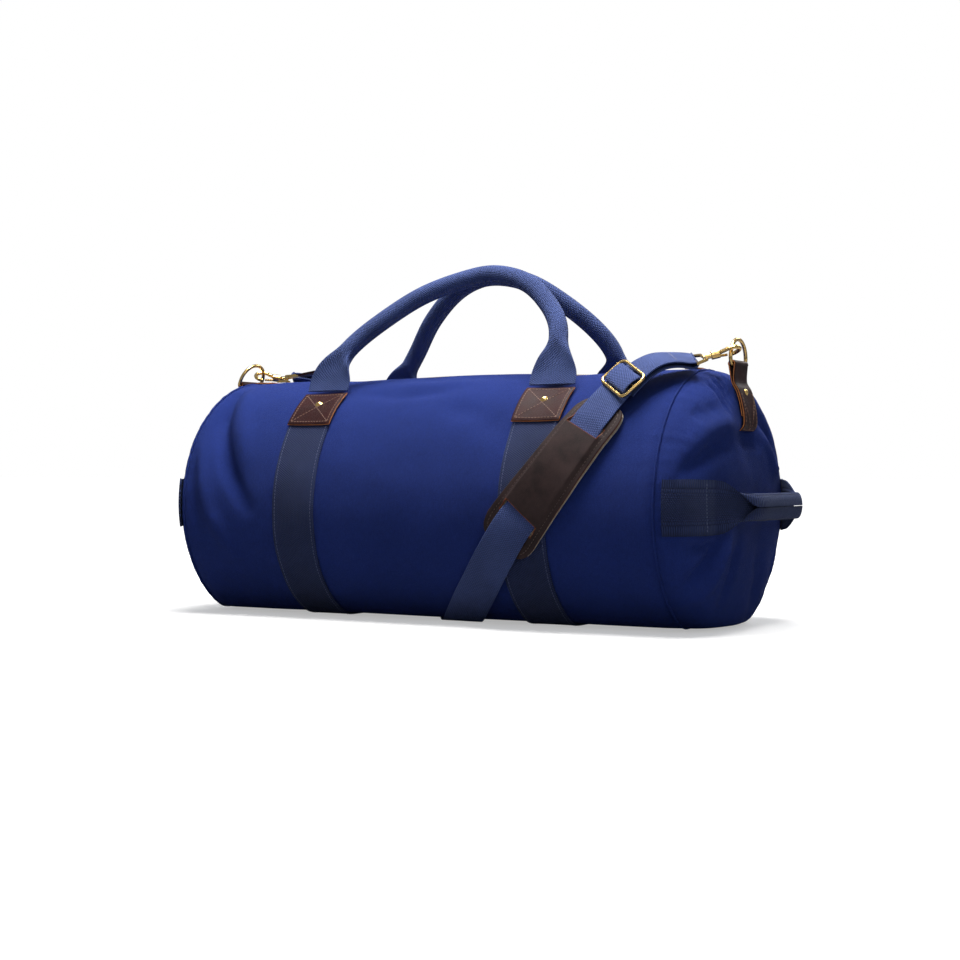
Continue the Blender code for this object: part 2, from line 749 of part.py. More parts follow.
def make_grip(name, side):
    """The free part of an end handle, folded double in the middle."""
    hinge = grip_hinge(side)
    top = panel_x(side, 0.0, BARREL_AXIS_Z) + side * GRAB_STAND
    count = 24
    rings = []
    for i in range(count + 1):
        share = -1.0 + 2.0 * i / count
        y = GRAB_GRIP_Y * share
        rise = 1.0 - abs(share) ** GRIP_CURVE
        x = hinge.x + (top - hinge.x) * rise
        gather = smooth_step((1.0 - abs(share)) / GRIP_GATHER)
        half_height = GRIP_ROOT_HEIGHT + (GRIP_HEIGHT - GRIP_ROOT_HEIGHT) * gather
        half_thick = GRIP_ROOT_DEPTH + (GRIP_DEPTH - GRIP_ROOT_DEPTH) * gather
        steepness = GRIP_CURVE * abs(share) ** (GRIP_CURVE - 1.0) / GRAB_GRIP_Y
        slope = (hinge.x - top) * math.copysign(steepness, share)
        normal = Vector((1.0, -slope, 0.0)).normalized()
        ring = []
        for j in range(12):
            turn = 2 * math.pi * j / 12
            up = Vector((0, 0, 1)) * half_height * math.cos(turn)
            ring.append(Vector((x, y, BARREL_AXIS_Z)) + up + normal * half_thick * math.sin(turn))
        rings.append(ring)
    loft(name, rings, "webbing", hinge)


# ---------------------------------------------------------------- rings, tabs and hooks
def ring_point(turn, lean, side):
    """A point of a ring's wire over its bar; turn runs over the arc in degrees."""
    t = math.radians(turn)
    y = RING_HALF_WIDTH * math.cos(t)
    rise = RING_CORNER + (RING_HEIGHT - RING_CORNER) * math.sin(t)
    tilt = math.radians(lean) * -side
    return Vector((rise * math.sin(tilt), y, rise * math.cos(tilt)))


def make_ring(name, bar, lean, side):
    points = [ring_point(turn, lean, side) for turn in spread(0.0, 180.0, 16)]
    corner = RING_BAR_CORNER
    points.append(Vector((0.0, -RING_HALF_WIDTH + corner * 0.3, corner * 0.3)))
    points.append(Vector((0.0, -RING_HALF_WIDTH + corner, 0.0)))
    points.append(Vector((0.0, RING_HALF_WIDTH - corner, 0.0)))
    points.append(Vector((0.0, RING_HALF_WIDTH - corner * 0.3, corner * 0.3)))
    mesh = wire_mesh([bar + p for p in points], RING_WIRE, closed=True)
    add_object(name, mesh, "brass", bar)


def make_ring_tab(name, bar, side):
    """A leather strap round the ring's bar, doubled at the top and sewn down the end panel."""
    bore = RING_WIRE + TAB_PLAY
    loop_radius = bore + TAB_THICK
    back = []
    front = []
    for z in spread(TAB_FOOT_Z, TAB_LEAVE_Z, 5):
        surface = panel_point(side, 0.0, z, TAB_OFFSET)
        back.append((side * surface.x, surface.z))
        layers = 1 if z < TAB_DOUBLE_Z else 2
        lower = panel_point(side, 0.0, z, TAB_OFFSET + TAB_THICK * layers)
        front.append((side * lower.x, lower.z))
    centre = (side * bar.x, bar.z)
    arc = []
    for i in range(9):
        turn = math.radians(205.0 - 230.0 * i / 8)
        arc.append((
            centre[0] + loop_radius * math.cos(turn),
            centre[1] + loop_radius * math.sin(turn),
        ))
    edge = back + arc + list(reversed(front))
    hole = []
    for i in range(12):
        turn = 2 * math.pi * i / 12
        hole.append((centre[0] + bore * math.cos(turn), centre[1] + bore * math.sin(turn)))
    mesh = outline_mesh([edge, hole], TAB_WIDTH)
    place = axes_matrix(
        Vector((0, 0, 0)), Vector((side, 0, 0)), Vector((0, 0, 1)), Vector((0, -side, 0)),
    )
    mesh.transform(place)
    add_object(name, mesh, "leather")


def make_tab_rivet(name, side):
    top = TAB_OFFSET + TAB_THICK * 2 + GAP
    foot = panel_point(side, 0.0, TAB_RIVET_Z, top)
    ahead = panel_point(side, 0.0, TAB_RIVET_Z, top + RIVET_HEIGHT)
    mesh = dome_mesh(foot, ahead - foot, TAB_RIVET_RADIUS, TAB_RIVET_HEIGHT)
    add_object(name, mesh, "brass")


def hook_axes(side):
    """A snap hook's frame at the ring: along the hook, across its loop, and normal to the loop."""
    bar = RING_RIGHT if side > 0 else RING_LEFT
    lean = RING_RIGHT_LEAN if side > 0 else RING_LEFT_LEAN
    turn = HOOK_ON_RING if side > 0 else 180.0 - HOOK_ON_RING
    origin = bar + ring_point(turn, lean, side)
    ahead = ring_point(turn + side, lean, side) - ring_point(turn - side, lean, side)
    climb = HOOK_CLIMB_RIGHT if side > 0 else HOOK_CLIMB_LEFT
    along = Vector((side * HOOK_ALONG_X, side * HOOK_ALONG_Y, climb)).normalized()
    normal = -ahead.normalized()
    normal = (normal - along * normal.dot(along)).normalized()
    across = normal.cross(along)
    return origin, along, across, normal


def strap_frame(t):
    """The strap's middle, its direction, its width direction and its outward normal at t."""
    step = 0.01
    here = strap_surface(t, 0.0)
    along = (strap_surface(t + step, 0.0) - strap_surface(t - step, 0.0)).normalized()
    width = (strap_surface(t, 0.001) - strap_surface(t, -0.001)).normalized()
    normal = width.cross(along).normalized()
    outward = Vector((0.0, here.y, here.z - BARREL_AXIS_Z))
    if normal.dot(outward) < 0:
        normal = -normal
    return here, along, width, normal


def strap_surface(t, across, raised=0.0):
    """A point of the strap's middle sheet: t counts the route's points, across is sideways."""
    t = min(max(t, 0.0), len(STRAP_ROUTE) - 1.0)
    angle, x, offset = spline_point(STRAP_ROUTE, t)
    step = 0.02
    a0, x0 = spline_point(STRAP_ROUTE, max(t - step, 0.0))[:2]
    a1, x1 = spline_point(STRAP_ROUTE, min(t + step, len(STRAP_ROUTE) - 1.0))[:2]
    arc = math.radians(a1 - a0) * BARREL_RADIUS
    shift = x1 - x0
    length = math.hypot(arc, shift)
    side_arc = -shift / length * across
    side_x = arc / length * across
    return barrel_point(angle + math.degrees(side_arc / BARREL_RADIUS), x + side_x, offset + raised)


def route_parameter(angle):
    """The route parameter at which the strap passes an angle round the barrel."""
    low = 0.0
    high = len(STRAP_ROUTE) - 1.0
    while high - low > ROUTE_TOLERANCE:
        middle = (low + high) / 2
        if spline_point(STRAP_ROUTE, middle)[0] < angle:
            low = middle
        else:
            high = middle
    return low


def make_hook(name, side):
    origin, along, across, normal = hook_axes(side)
    place = axes_matrix(origin, along, across, normal)
    end_t = 0.0 if side > 0 else len(STRAP_ROUTE) - 1.0
    width = strap_frame(end_t)[2]
    width = (width - along * width.dot(along)).normalized()

    points = [Vector((-0.0125, -0.0010, 0.0)), Vector((-0.0095, -0.0040, 0.0))]
    for turn in spread(-140.0, 92.0, 14):
        t = math.radians(turn)
        points.append(Vector((math.cos(t), math.sin(t), 0.0)) * HOOK_LOOP)
    body = wire_mesh(points, HOOK_WIRE)
    body.transform(place)
    piece = add_object("hook_" + name, body, "brass", origin)
    foot = place @ Vector((HOOK_FOOT_X, 0, 0))
    base = cylinder_mesh(HOOK_SHANK_RADIUS, foot, place @ Vector((HOOK_NECK_X, 0, 0)))
    join_by_union(piece, base)

    pivot = place @ Vector((-0.0118, 0.0058, 0.0))
    tip = place @ Vector((-0.0030, 0.0079, 0.0))
    add_object("hook_gate_" + name, wire_mesh([pivot, tip], GATE_WIRE), "brass", pivot)

    half = STRAP_WIDTH / 2 + EYE_PLAY
    bar = origin - along * HOOK_LENGTH
    head = origin - along * (HOOK_LENGTH - EYE_DEPTH)
    head_half = width * half * EYE_HEAD_SHARE
    corners = [bar - width * half, bar + width * half, head + head_half, head - head_half]
    frame = wire_mesh(corners, EYE_WIRE, closed=True)
    eye = add_object("hook_eye_" + name, frame, "brass", bar)
    swivel_end = place @ Vector((HOOK_FOOT_X - 0.0004, 0, 0))
    join_by_union(eye, cylinder_mesh(SWIVEL_RADIUS, head - along * 0.0005, swivel_end))


# ---------------------------------------------------------------- strap, pad and slide buckle
def make_strap(name, start, end, count, raised=0.0, width=STRAP_WIDTH):
    def point(t, across):
        return strap_surface(t, across, raised)

    mesh = grid_mesh(name, spread(start, end, count), [-width / 2, 0.0, width / 2], point)
    thicken(add_object(name, mesh, "webbing"), STRAP_THICK)


def pad_half_width(share):
    """Half the pad's width; share runs from 0 to 1 along it, and both ends are rounded."""
    from_end = min(share, 1.0 - share)
    if from_end > PAD_ROUNDED:
        return PAD_HALF_WIDTH
    arc = math.sqrt(max(0.0, 1.0 - (1.0 - from_end / PAD_ROUNDED) ** 2))
    return PAD_HALF_WIDTH * (PAD_END_SHARE + (1.0 - PAD_END_SHARE) * arc)


def pad_point(share, across, offset):
    """A point of the pad at a set height over the canvas, whatever the strap does there."""
    angle = PAD_START + (PAD_END - PAD_START) * share
    t = route_parameter(angle)
    route_offset = spline_point(STRAP_ROUTE, t)[2]
    return strap_surface(t, across, offset - route_offset)


def make_pad():
    far = 1.0 - PAD_ROUNDED
    shares = spread(0.0, PAD_ROUNDED, 5) + spread(PAD_ROUNDED, far, 18)[1:] + spread(far, 1.0, 5)[1:]
    lanes = [-1.0, -0.5, 0.0, 0.5, 1.0]

    def felt_point(share, lane):
        return pad_point(share, lane * (pad_half_width(share) - FELT_INSET), FELT_OFFSET)

    mesh = grid_mesh("pad_felt", shares, lanes, felt_point)
    thicken(add_object("pad_felt", mesh, "felt"), FELT_THICK)

    slit = PAD_SLIT / (PAD_END - PAD_START)
    opening = PAD_SLIT_OPENING / (PAD_END - PAD_START)
    shares = sorted(set(
        spread(0.0, slit, 5) + [slit + opening]
        + spread(slit + opening, 1.0 - slit - opening, 16) + spread(1.0 - slit, 1.0, 5)
    ))
    raised_edge = PAD_RAISED_HALF / PAD_HALF_WIDTH
    low_edge = PAD_LOW_HALF / PAD_HALF_WIDTH
    columns = [-1.0, -low_edge, -raised_edge, 0.0, raised_edge, low_edge, 1.0]

    def leather_point(share, lane):
        central = slit + opening / 2 < share < 1.0 - slit - opening / 2
        offset = LEATHER_HIGH if central and abs(lane) <= raised_edge else LEATHER_LOW
        return pad_point(share, lane * pad_half_width(share), offset)

    def keep(share, lane):
        in_slit = slit < share < slit + opening or slit < 1.0 - share < slit + opening
        return not (in_slit and abs(lane) < raised_edge)

    mesh = grid_mesh("pad_leather", shares, columns, leather_point, keep)
    thicken(add_object("pad_leather", mesh, "pad"), LEATHER_THICK)


def make_slide_buckle():
    """A rounded frame with a centre bar, lying on the strap."""
    here, along, width, normal = strap_frame(route_parameter(BUCKLE_ANGLE))
    frame = outline_mesh(
        [
            rounded_loop(*BUCKLE_OUTLINE),
            rounded_loop(*BUCKLE_HOLE, centre=(BUCKLE_HOLE_X, 0.0)),
            rounded_loop(*BUCKLE_HOLE, centre=(-BUCKLE_HOLE_X, 0.0)),
        ],
        BUCKLE_THICK,
    )
    frame.transform(axes_matrix(here + normal * BUCKLE_LIFT, along, width, along.cross(width)))
    add_object("slide_buckle", frame, "brass")


# ---------------------------------------------------------------- the whole bag
def build():
    make_body_shell()
    for name, side in (("left", -1), ("right", 1)):
        make_end_panel("end_panel_" + name, side)
        make_end_welt("end_welt_" + name, side)
        make_zip_end("zip_end_" + name, side)
        centre_x = BAND_LEFT_X if side < 0 else BAND_RIGHT_X
        make_band("web_band_" + name, centre_x)
        for place, front in (("front", 1), ("rear", -1)):
            make_patch("patch_" + place + "_" + name, centre_x, front)
            make_patch_rivet("patch_rivet_" + place + "_" + name, centre_x, front)
            make_grab_root("grab_root_" + place + "_" + name, side, front)
        make_grip("grab_handle_" + name, side)
        bar = RING_LEFT if side < 0 else RING_RIGHT
        lean = RING_LEFT_LEAN if side < 0 else RING_RIGHT_LEAN
        make_ring("ring_" + name, bar, lean, side)
        make_ring_tab("ring_tab_" + name, bar, side)
        make_tab_rivet("tab_rivet_" + name, side)
        make_hook(name, side)
    for name, front in (("front", 1), ("rear", -1)):
        make_mouth(name, front)
    make_zip_pull(make_zip_slider())
    make_handle("front", HANDLE_FRONT, 1)
    make_handle("rear", HANDLE_REAR, -1)
    last = len(STRAP_ROUTE) - 1.0
    make_strap("strap", STRAP_END, last - STRAP_END, 100)
    make_strap("strap_return", STRAP_END, route_parameter(RETURN_ANGLE), 10, raised=-STRAP_FOLD)
    make_pad()
    make_slide_buckle()


build()
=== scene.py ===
"""The looks of a canvas weekender bag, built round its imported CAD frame.

Metres, +Z up, the frame's own axes: X along the barrel, -Y the front. Places along the barrel are
measured from its middle, and angles round it in degrees from the top, growing towards the front.
"""

import math

import bmesh
import bpy
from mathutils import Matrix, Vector, noise


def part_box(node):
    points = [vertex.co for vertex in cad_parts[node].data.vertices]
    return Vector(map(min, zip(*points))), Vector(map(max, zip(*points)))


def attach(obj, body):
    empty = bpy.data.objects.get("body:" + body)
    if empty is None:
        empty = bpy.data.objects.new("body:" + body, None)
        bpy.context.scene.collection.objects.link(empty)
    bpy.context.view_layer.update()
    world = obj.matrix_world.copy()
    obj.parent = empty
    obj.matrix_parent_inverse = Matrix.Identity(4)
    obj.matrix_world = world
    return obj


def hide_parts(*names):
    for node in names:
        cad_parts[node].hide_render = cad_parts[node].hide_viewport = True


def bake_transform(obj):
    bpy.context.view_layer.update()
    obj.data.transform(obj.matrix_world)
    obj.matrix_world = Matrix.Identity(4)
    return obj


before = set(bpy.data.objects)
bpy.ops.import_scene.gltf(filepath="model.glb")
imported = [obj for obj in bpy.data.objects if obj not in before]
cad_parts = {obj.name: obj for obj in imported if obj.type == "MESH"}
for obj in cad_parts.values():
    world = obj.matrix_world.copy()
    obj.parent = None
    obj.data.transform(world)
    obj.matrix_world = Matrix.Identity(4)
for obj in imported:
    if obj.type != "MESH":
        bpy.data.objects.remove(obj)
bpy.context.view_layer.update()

# Barrel, read from the frame
SHELL_LOW, SHELL_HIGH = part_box("body_shell")
MID_X = (SHELL_LOW[0] + SHELL_HIGH[0]) / 2
HALF_LENGTH = (SHELL_HIGH[0] - SHELL_LOW[0]) / 2
RADIUS = (SHELL_HIGH[1] - SHELL_LOW[1]) / 2
AXIS_Z = SHELL_HIGH[2] - RADIUS
CANVAS_BOTTOM = SHELL_LOW[2]
FLOOR_BLEND = 0.006
FOLD_DEPTH = 2.0
CANVAS = 0.0012
LOWEST = 0.0002

# End panels
BULGE_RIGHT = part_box("end_panel_right")[1][0] - MID_X - HALF_LENGTH
BULGE_LEFT = MID_X - HALF_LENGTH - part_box("end_panel_left")[0][0]
PANEL_POWER = 2.5

# Seam welts
WELT_RADIUS = 0.0012
WELT_INSET = 0.0006
WELT_STAND = 0.0007
WELT_TUCK = 0.0018

# Webbing and patches
WEB_WIDTH = 0.0508
WEB_THICK = 0.0020
BAND_X = {
    side: sum(corner[0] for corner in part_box("web_band_" + side)) / 2 - MID_X
    for side in ("left", "right")
}
BAND_START = 33.0
PATCH_TOP = 31.5
PATCH_BOTTOM = 52.0
PATCH_WIDTH = 0.053
PATCH_THICK = 0.0022
PATCH_LIFT = WEB_THICK + 0.0005 + PATCH_THICK / 2
PATCH_SEAM = 0.0036
PATCH_RIVET_ANGLE = 39.5
PATCH_RIVET_RADIUS = 0.0042
PATCH_RIVET_HEIGHT = 0.0022
BAND_SEAM = 0.0032
BAND_GAP = 0.0002

# Mouth and zip
SLOT_HALF_LENGTH = 0.255
FLAP_ANGLE = 17.8
TWIST_LENGTH = 0.060
ZIP_HALF_LENGTH = 0.250
TOOTH_PITCH = 0.0026
TOOTH_DEPTH = 0.0012
MOUTH_EDGE = 0.0052
MOUTH_TUCK = 0.0016
MOUTH_FOLD_DEPTH = 0.0020
MOUTH_FOLD_RADIUS = 0.0018
TAPE_INNER = 0.0030
TAPE_OUTER = 0.015
TAPE_DEPTH = 0.0026
TAPE_THICK = 0.0009
ZIP_STOP_INNER = 0.2545
ZIP_STOP_OUTER = 0.2690
ZIP_STOP_HALF = 0.0135
ZIP_STOP_SEAM = 0.0020
ZIP_STOP_THICK = 0.0014
ZIP_STOP_LIFT = 0.0010

# Handles
HANDLE_TUBE = 0.0099
HANDLE_FLAT = 0.008
HANDLE_FLAT_DEPTH = 0.0013
HANDLE_TUBE_DEPTH = HANDLE_TUBE * 0.94
HANDLE_CURL = 0.0060
HANDLE_DENT = 0.16
HANDLE_GATHER = {"front": 0.045, "rear": 0.030}
GRAB_FLAT_Y = 0.094
GRAB_SEAM_Y = 0.121
GRAB_RIM_Y = 0.1322
GRAB_GAP = 0.0004
GRAB_FOLD_RADIUS = 0.0120
GRAB_FOLD_INSET = 0.0042
GRAB_FOLD_SHARE = 0.992
GRAB_STITCH_Y = 0.0985
GRAB_STAND = {"left": 0.013, "right": 0.023}

# Rings, tabs and hooks
RING_HALF_WIDTH = 0.0195
RING_HEIGHT = 0.0245
RING_CORNER = 0.006
RING_WIRE = 0.0019
RING_BAR_CORNER = 0.0028
TAB_WIDTH = 0.034
TAB_THICK = 0.0018
TAB_OFFSET = 0.0014
TAB_PLAY = 0.0004
TAB_FOOT_Z = 0.190
TAB_LEAVE_Z = 0.236
TAB_RETURN_Z = 0.204
TAB_SEAM = 0.0034
TAB_RIVET_RADIUS = 0.0034
TAB_RIVET_HEIGHT = 0.0018
RING_BAR = {"right": Vector((0.3045, 0.0, 0.2545)), "left": Vector((-0.2880, 0.0, 0.2495))}
RING_LEAN = {"right": 0.0, "left": 25.0}
HOOK_ON_RING = {"right": 160.0, "left": 20.0}
HOOK_CLIMB = {"right": 0.240, "left": 0.130}
HOOK_LENGTH = 0.038

# Strap and pad
STRAP_WIDTH = 0.038
STRAP_THICK = 0.0018
STRAP_FOLD = 0.0052
STRAP_HUMP = 0.0070
STRAP_REACH = {"left": Vector(), "right": Vector()}
PAD_HALF_WIDTH = 0.0292
PAD_START = 45.5
PAD_END = 105.5
PAD_ROUNDED = 0.12
PAD_END_SHARE = 0.62
PAD_SEAM = 0.0048
PAD_SLIT_HALF = 0.0205
PAD_SLIT = 9.0
PAD_SLIT_OPENING = 4.0
FELT_THICK = 0.0034
FELT_LIFT = 0.0044
FELT_MARGIN = 0.0002
LEATHER_THICK = 0.0018
LEATHER_LOW = 0.0068
LEATHER_HIGH = 0.0094
RETURN_ANGLE = 37.0
BUCKLE_ANGLE = 35.0
BUCKLE_LIFT = 0.0036
BUCKLE_HALF_LONG = 0.0150
BUCKLE_HALF_WIDE = 0.0228
BUCKLE_CORNER = 0.0060
BUCKLE_WIRE = 0.0016
BUCKLE_BAR = 0.0014

SIDES = {"left": -1, "right": 1}
FRONTS = {"front": 1, "rear": -1}

# The strap's route from the right hook, down the front, under the barrel and up the back to the
# left hook: angle round the barrel, place along it, height of the strap's middle over the canvas.
STRAP_ROUTE = [
    (15.3, 0.2734, 0.0119),
    (19.0, 0.2610, 0.0134),
    (23.2, 0.2500, 0.0142),
    (29.0, 0.2360, 0.0134),
    (36.0, 0.2215, 0.0112),
    (42.0, 0.2140, 0.0096),
    (50.0, 0.2060, 0.0092),
    (54.0, 0.2013, 0.0091),
    (58.5, 0.1955, 0.0071),
    (68.0, 0.1830, 0.0070),
    (78.0, 0.1680, 0.0070),
    (87.0, 0.1523, 0.0070),
    (92.5, 0.1422, 0.0071),
    (97.5, 0.1325, 0.0091),
    (106.0, 0.1170, 0.0091),
    (113.0, 0.1035, 0.0062),
    (123.0, 0.0850, 0.0042),
    (134.0, 0.0640, 0.0036),
    (145.0, 0.0440, 0.0036),
    (155.0, 0.0270, 0.0026),
    (167.0, 0.0085, 0.0020),
    (180.0, -0.0090, 0.0020),
    (193.0, -0.0265, 0.0020),
    (205.0, -0.0440, 0.0026),
    (215.0, -0.0595, 0.0036),
    (224.0, -0.0735, 0.0038),
    (234.0, -0.0895, 0.0043),
    (248.0, -0.1115, 0.0043),
    (264.0, -0.1345, 0.0043),
    (280.0, -0.1560, 0.0043),
    (296.0, -0.1740, 0.0048),
    (312.0, -0.1890, 0.0060),
    (324.0, -0.2010, 0.0078),
    (332.0, -0.2130, 0.0096),
    (338.5, -0.2290, 0.0108),
    (344.3, -0.2510, 0.0100),
]

STRAP_ENDS = {"right": 0.30, "left": len(STRAP_ROUTE) - 1.30}

# The middle lines of the two top handles, from the left root to the right root.
HANDLE_LINES = {
    "front": [
        (-0.1300, -0.0691, 0.2367),
        (-0.1270, -0.0610, 0.2600),
        (-0.1120, -0.0480, 0.2860),
        (-0.0820, -0.0320, 0.3130),
        (-0.0440, -0.0160, 0.3380),
        (0.0000, -0.0050, 0.3530),
        (0.0360, -0.0020, 0.3570),
        (0.0760, -0.0090, 0.3460),
        (0.1080, -0.0230, 0.3220),
        (0.1280, -0.0380, 0.2980),
        (0.1360, -0.0540, 0.2700),
        (0.1380, -0.0691, 0.2367),
    ],
    "rear": [
        (-0.1300, 0.0691, 0.2367),
        (-0.1210, 0.0700, 0.2600),
        (-0.1030, 0.0660, 0.2850),
        (-0.0740, 0.0500, 0.3160),
        (-0.0380, 0.0350, 0.3420),
        (-0.0040, 0.0250, 0.3550),
        (0.0280, 0.0225, 0.3575),
        (0.0620, 0.0260, 0.3490),
        (0.0920, 0.0370, 0.3300),
        (0.1210, 0.0520, 0.3040),
        (0.1380, 0.0640, 0.2800),
        (0.1420, 0.0700, 0.2590),
        (0.1380, 0.0691, 0.2367),
    ],
}


# ---------------------------------------------------------------- numbers and curves
def spread(start, end, count):
    return [start + (end - start) * i / count for i in range(count + 1)]


def edged(start, end, count, edge):
    """Lines from start to end, with closer ones near both ends, where an edge turns over."""
    near = [0.0, 0.12, 0.42]
    way = 1.0 if end > start else -1.0
    lines = [start + way * edge * share for share in near]
    lines += spread(start + way * edge, end - way * edge, count)
    lines += [end - way * edge * share for share in reversed(near)]
    return lines


def smooth_step(t):
    t = min(max(t, 0.0), 1.0)
    return t * t * (3.0 - 2.0 * t)


def bump(value, centre, width):
    return math.exp(-((value - centre) / width) ** 2)


def distances(points):
    run = [0.0]
    for a, b in zip(points, points[1:]):
        run.append(run[-1] + (b - a).length)
    return run


def between(a, b, count):
    """Places on the straight line from the pair a to the pair b."""
    return [(a[0] + (b[0] - a[0]) * t, a[1] + (b[1] - a[1]) * t) for t in spread(0.0, 1.0, count)]


def spline_point(points, t):
    """A Catmull-Rom curve through the points; t counts them from 0."""
    i = min(max(int(t), 0), len(points) - 2)
    f = t - i
    p1 = Vector(points[i])
    p2 = Vector(points[i + 1])
    p0 = Vector(points[i - 1]) if i > 0 else p1 * 2 - p2
    p3 = Vector(points[i + 2]) if i + 2 < len(points) else p2 * 2 - p1
    return 0.5 * (
        2 * p1
        + (p2 - p0) * f
        + (2 * p0 - 5 * p1 + 4 * p2 - p3) * f ** 2
        + (3 * p1 - p0 - 3 * p2 + p3) * f ** 3
    )


# ---------------------------------------------------------------- the canvas's shape
# Soft folds of the barrel: a line of (place along, angle), its width and its height.
BARREL_FOLDS = [
    ([(-0.262, 28.0), (-0.250, 48.0), (-0.222, 72.0), (-0.190, 92.0)], 0.009, -0.0050),
    ([(-0.245, 22.0), (-0.226, 44.0), (-0.200, 68.0)], 0.011, 0.0030),
    ([(-0.268, 52.0), (-0.256, 72.0), (-0.240, 94.0), (-0.214, 112.0)], 0.010, 0.0026),
    ([(-0.274, 66.0), (-0.266, 84.0), (-0.256, 104.0)], 0.008, -0.0016),
    ([(-0.090, 30.0), (-0.040, 34.0), (0.020, 31.0)], 0.009, -0.0012),
    ([(-0.060, 22.0), (-0.010, 25.0), (0.050, 22.0)], 0.010, 0.0012),
    ([(0.030, 42.0), (0.070, 47.0), (0.108, 58.0)], 0.014, -0.0015),
    ([(-0.100, 60.0), (-0.090, 90.0), (-0.094, 120.0)], 0.020, -0.0010),
    ([(0.255, 300.0), (0.235, 282.0), (0.220, 262.0)], 0.012, -0.0030),
    ([(0.268, 320.0), (0.252, 302.0), (0.236, 286.0)], 0.010, 0.0020),
    ([(-0.265, 306.0), (-0.245, 288.0), (-0.225, 270.0)], 0.011, -0.0028),
    ([(-0.050, 318.0), (0.010, 312.0), (0.070, 316.0)], 0.012, -0.0014),
]

# Soft folds of the end panels: a line of (y, z over the barrel's axis), its width and its height.
PANEL_FOLDS = {
    "right": [
        ([(-0.004, 0.080), (-0.002, 0.066), (-0.002, 0.052)], 0.0240, -0.0052),
        ([(-0.050, 0.122), (-0.047, 0.104), (-0.046, 0.090)], 0.0032, -0.0030),
        ([(-0.038, 0.126), (-0.036, 0.110), (-0.037, 0.096)], 0.0030, -0.0034),
        ([(-0.026, 0.129), (-0.026, 0.114), (-0.029, 0.100)], 0.0030, -0.0032),
        ([(-0.015, 0.130), (-0.016, 0.116), (-0.020, 0.104)], 0.0028, -0.0026),
        ([(-0.122, 0.030), (-0.104, 0.042), (-0.082, 0.054), (-0.052, 0.058)], 0.0075, -0.0030),
        ([(-0.112, 0.056), (-0.090, 0.070), (-0.060, 0.080), (-0.034, 0.078)], 0.0100, 0.0022),
        ([(-0.100, 0.086), (-0.078, 0.088), (-0.058, 0.094)], 0.0070, -0.0016),
        ([(-0.116, -0.034), (-0.096, -0.036), (-0.080, -0.032)], 0.0045, -0.0026),
        ([(-0.072, -0.030), (-0.088, -0.050), (-0.106, -0.072)], 0.0060, -0.0040),
        ([(-0.060, -0.028), (-0.072, -0.054), (-0.086, -0.084)], 0.0070, 0.0030),
        ([(-0.040, -0.030), (-0.046, -0.060), (-0.056, -0.092)], 0.0060, -0.0022),
        ([(0.020, 0.100), (0.052, 0.078), (0.070, 0.050)], 0.0100, -0.0045),
        ([(0.030, 0.070), (0.060, 0.040), (0.078, 0.034)], 0.0070, 0.0026),
        ([(0.090, -0.034), (0.070, -0.058), (0.074, -0.082)], 0.0080, -0.0050),
        ([(0.010, -0.040), (0.020, -0.070), (0.016, -0.100)], 0.0120, -0.0030),
    ],
    "left": [
        ([(-0.100, 0.060), (-0.076, 0.040), (-0.060, 0.030)], 0.0080, -0.0030),
        ([(-0.060, -0.034), (-0.080, -0.056), (-0.096, -0.074)], 0.0080, -0.0032),
        ([(0.062, 0.096), (0.050, 0.066), (0.056, 0.034)], 0.0090, -0.0034),
        ([(0.064, -0.032), (0.072, -0.060), (0.060, -0.090)], 0.0090, -0.0030),
        ([(-0.020, 0.110), (-0.026, 0.086), (-0.018, 0.060)], 0.0070, -0.0024),
    ],
}


def fold_height(folds, a, b):
    """The sum of all folds at a place: each is a soft ridge or valley along its line."""
    total = 0.0
    here = Vector((a, b))
    for line, width, height in folds:
        low_a = min(p[0] for p in line) - 3 * width
        high_a = max(p[0] for p in line) + 3 * width
        if not low_a < a < high_a:
            continue
        nearest = 1e9
        along = 0.0
        for i, (start, end) in enumerate(zip(line, line[1:])):
            start = Vector(start)
            way = Vector(end) - start
            share = min(max((here - start).dot(way) / way.length_squared, 0.0), 1.0)
            gap = (start + way * share - here).length
            if gap < nearest:
                nearest = gap
                along = (i + share) / (len(line) - 1)
        taper = min(1.0, 0.35 + 2.6 * min(along, 1.0 - along))
        total += FOLD_DEPTH * height * taper * math.exp(-(nearest / width) ** 2)
    return total


def metric_folds(folds):
    """Fold lines of the barrel with their angles turned into metres round it."""
    made = []
    for line, width, height in folds:
        made.append(([(x, math.radians(angle) * RADIUS) for x, angle in line], width, height))
    return made


ROUND_FOLDS = metric_folds(BARREL_FOLDS)


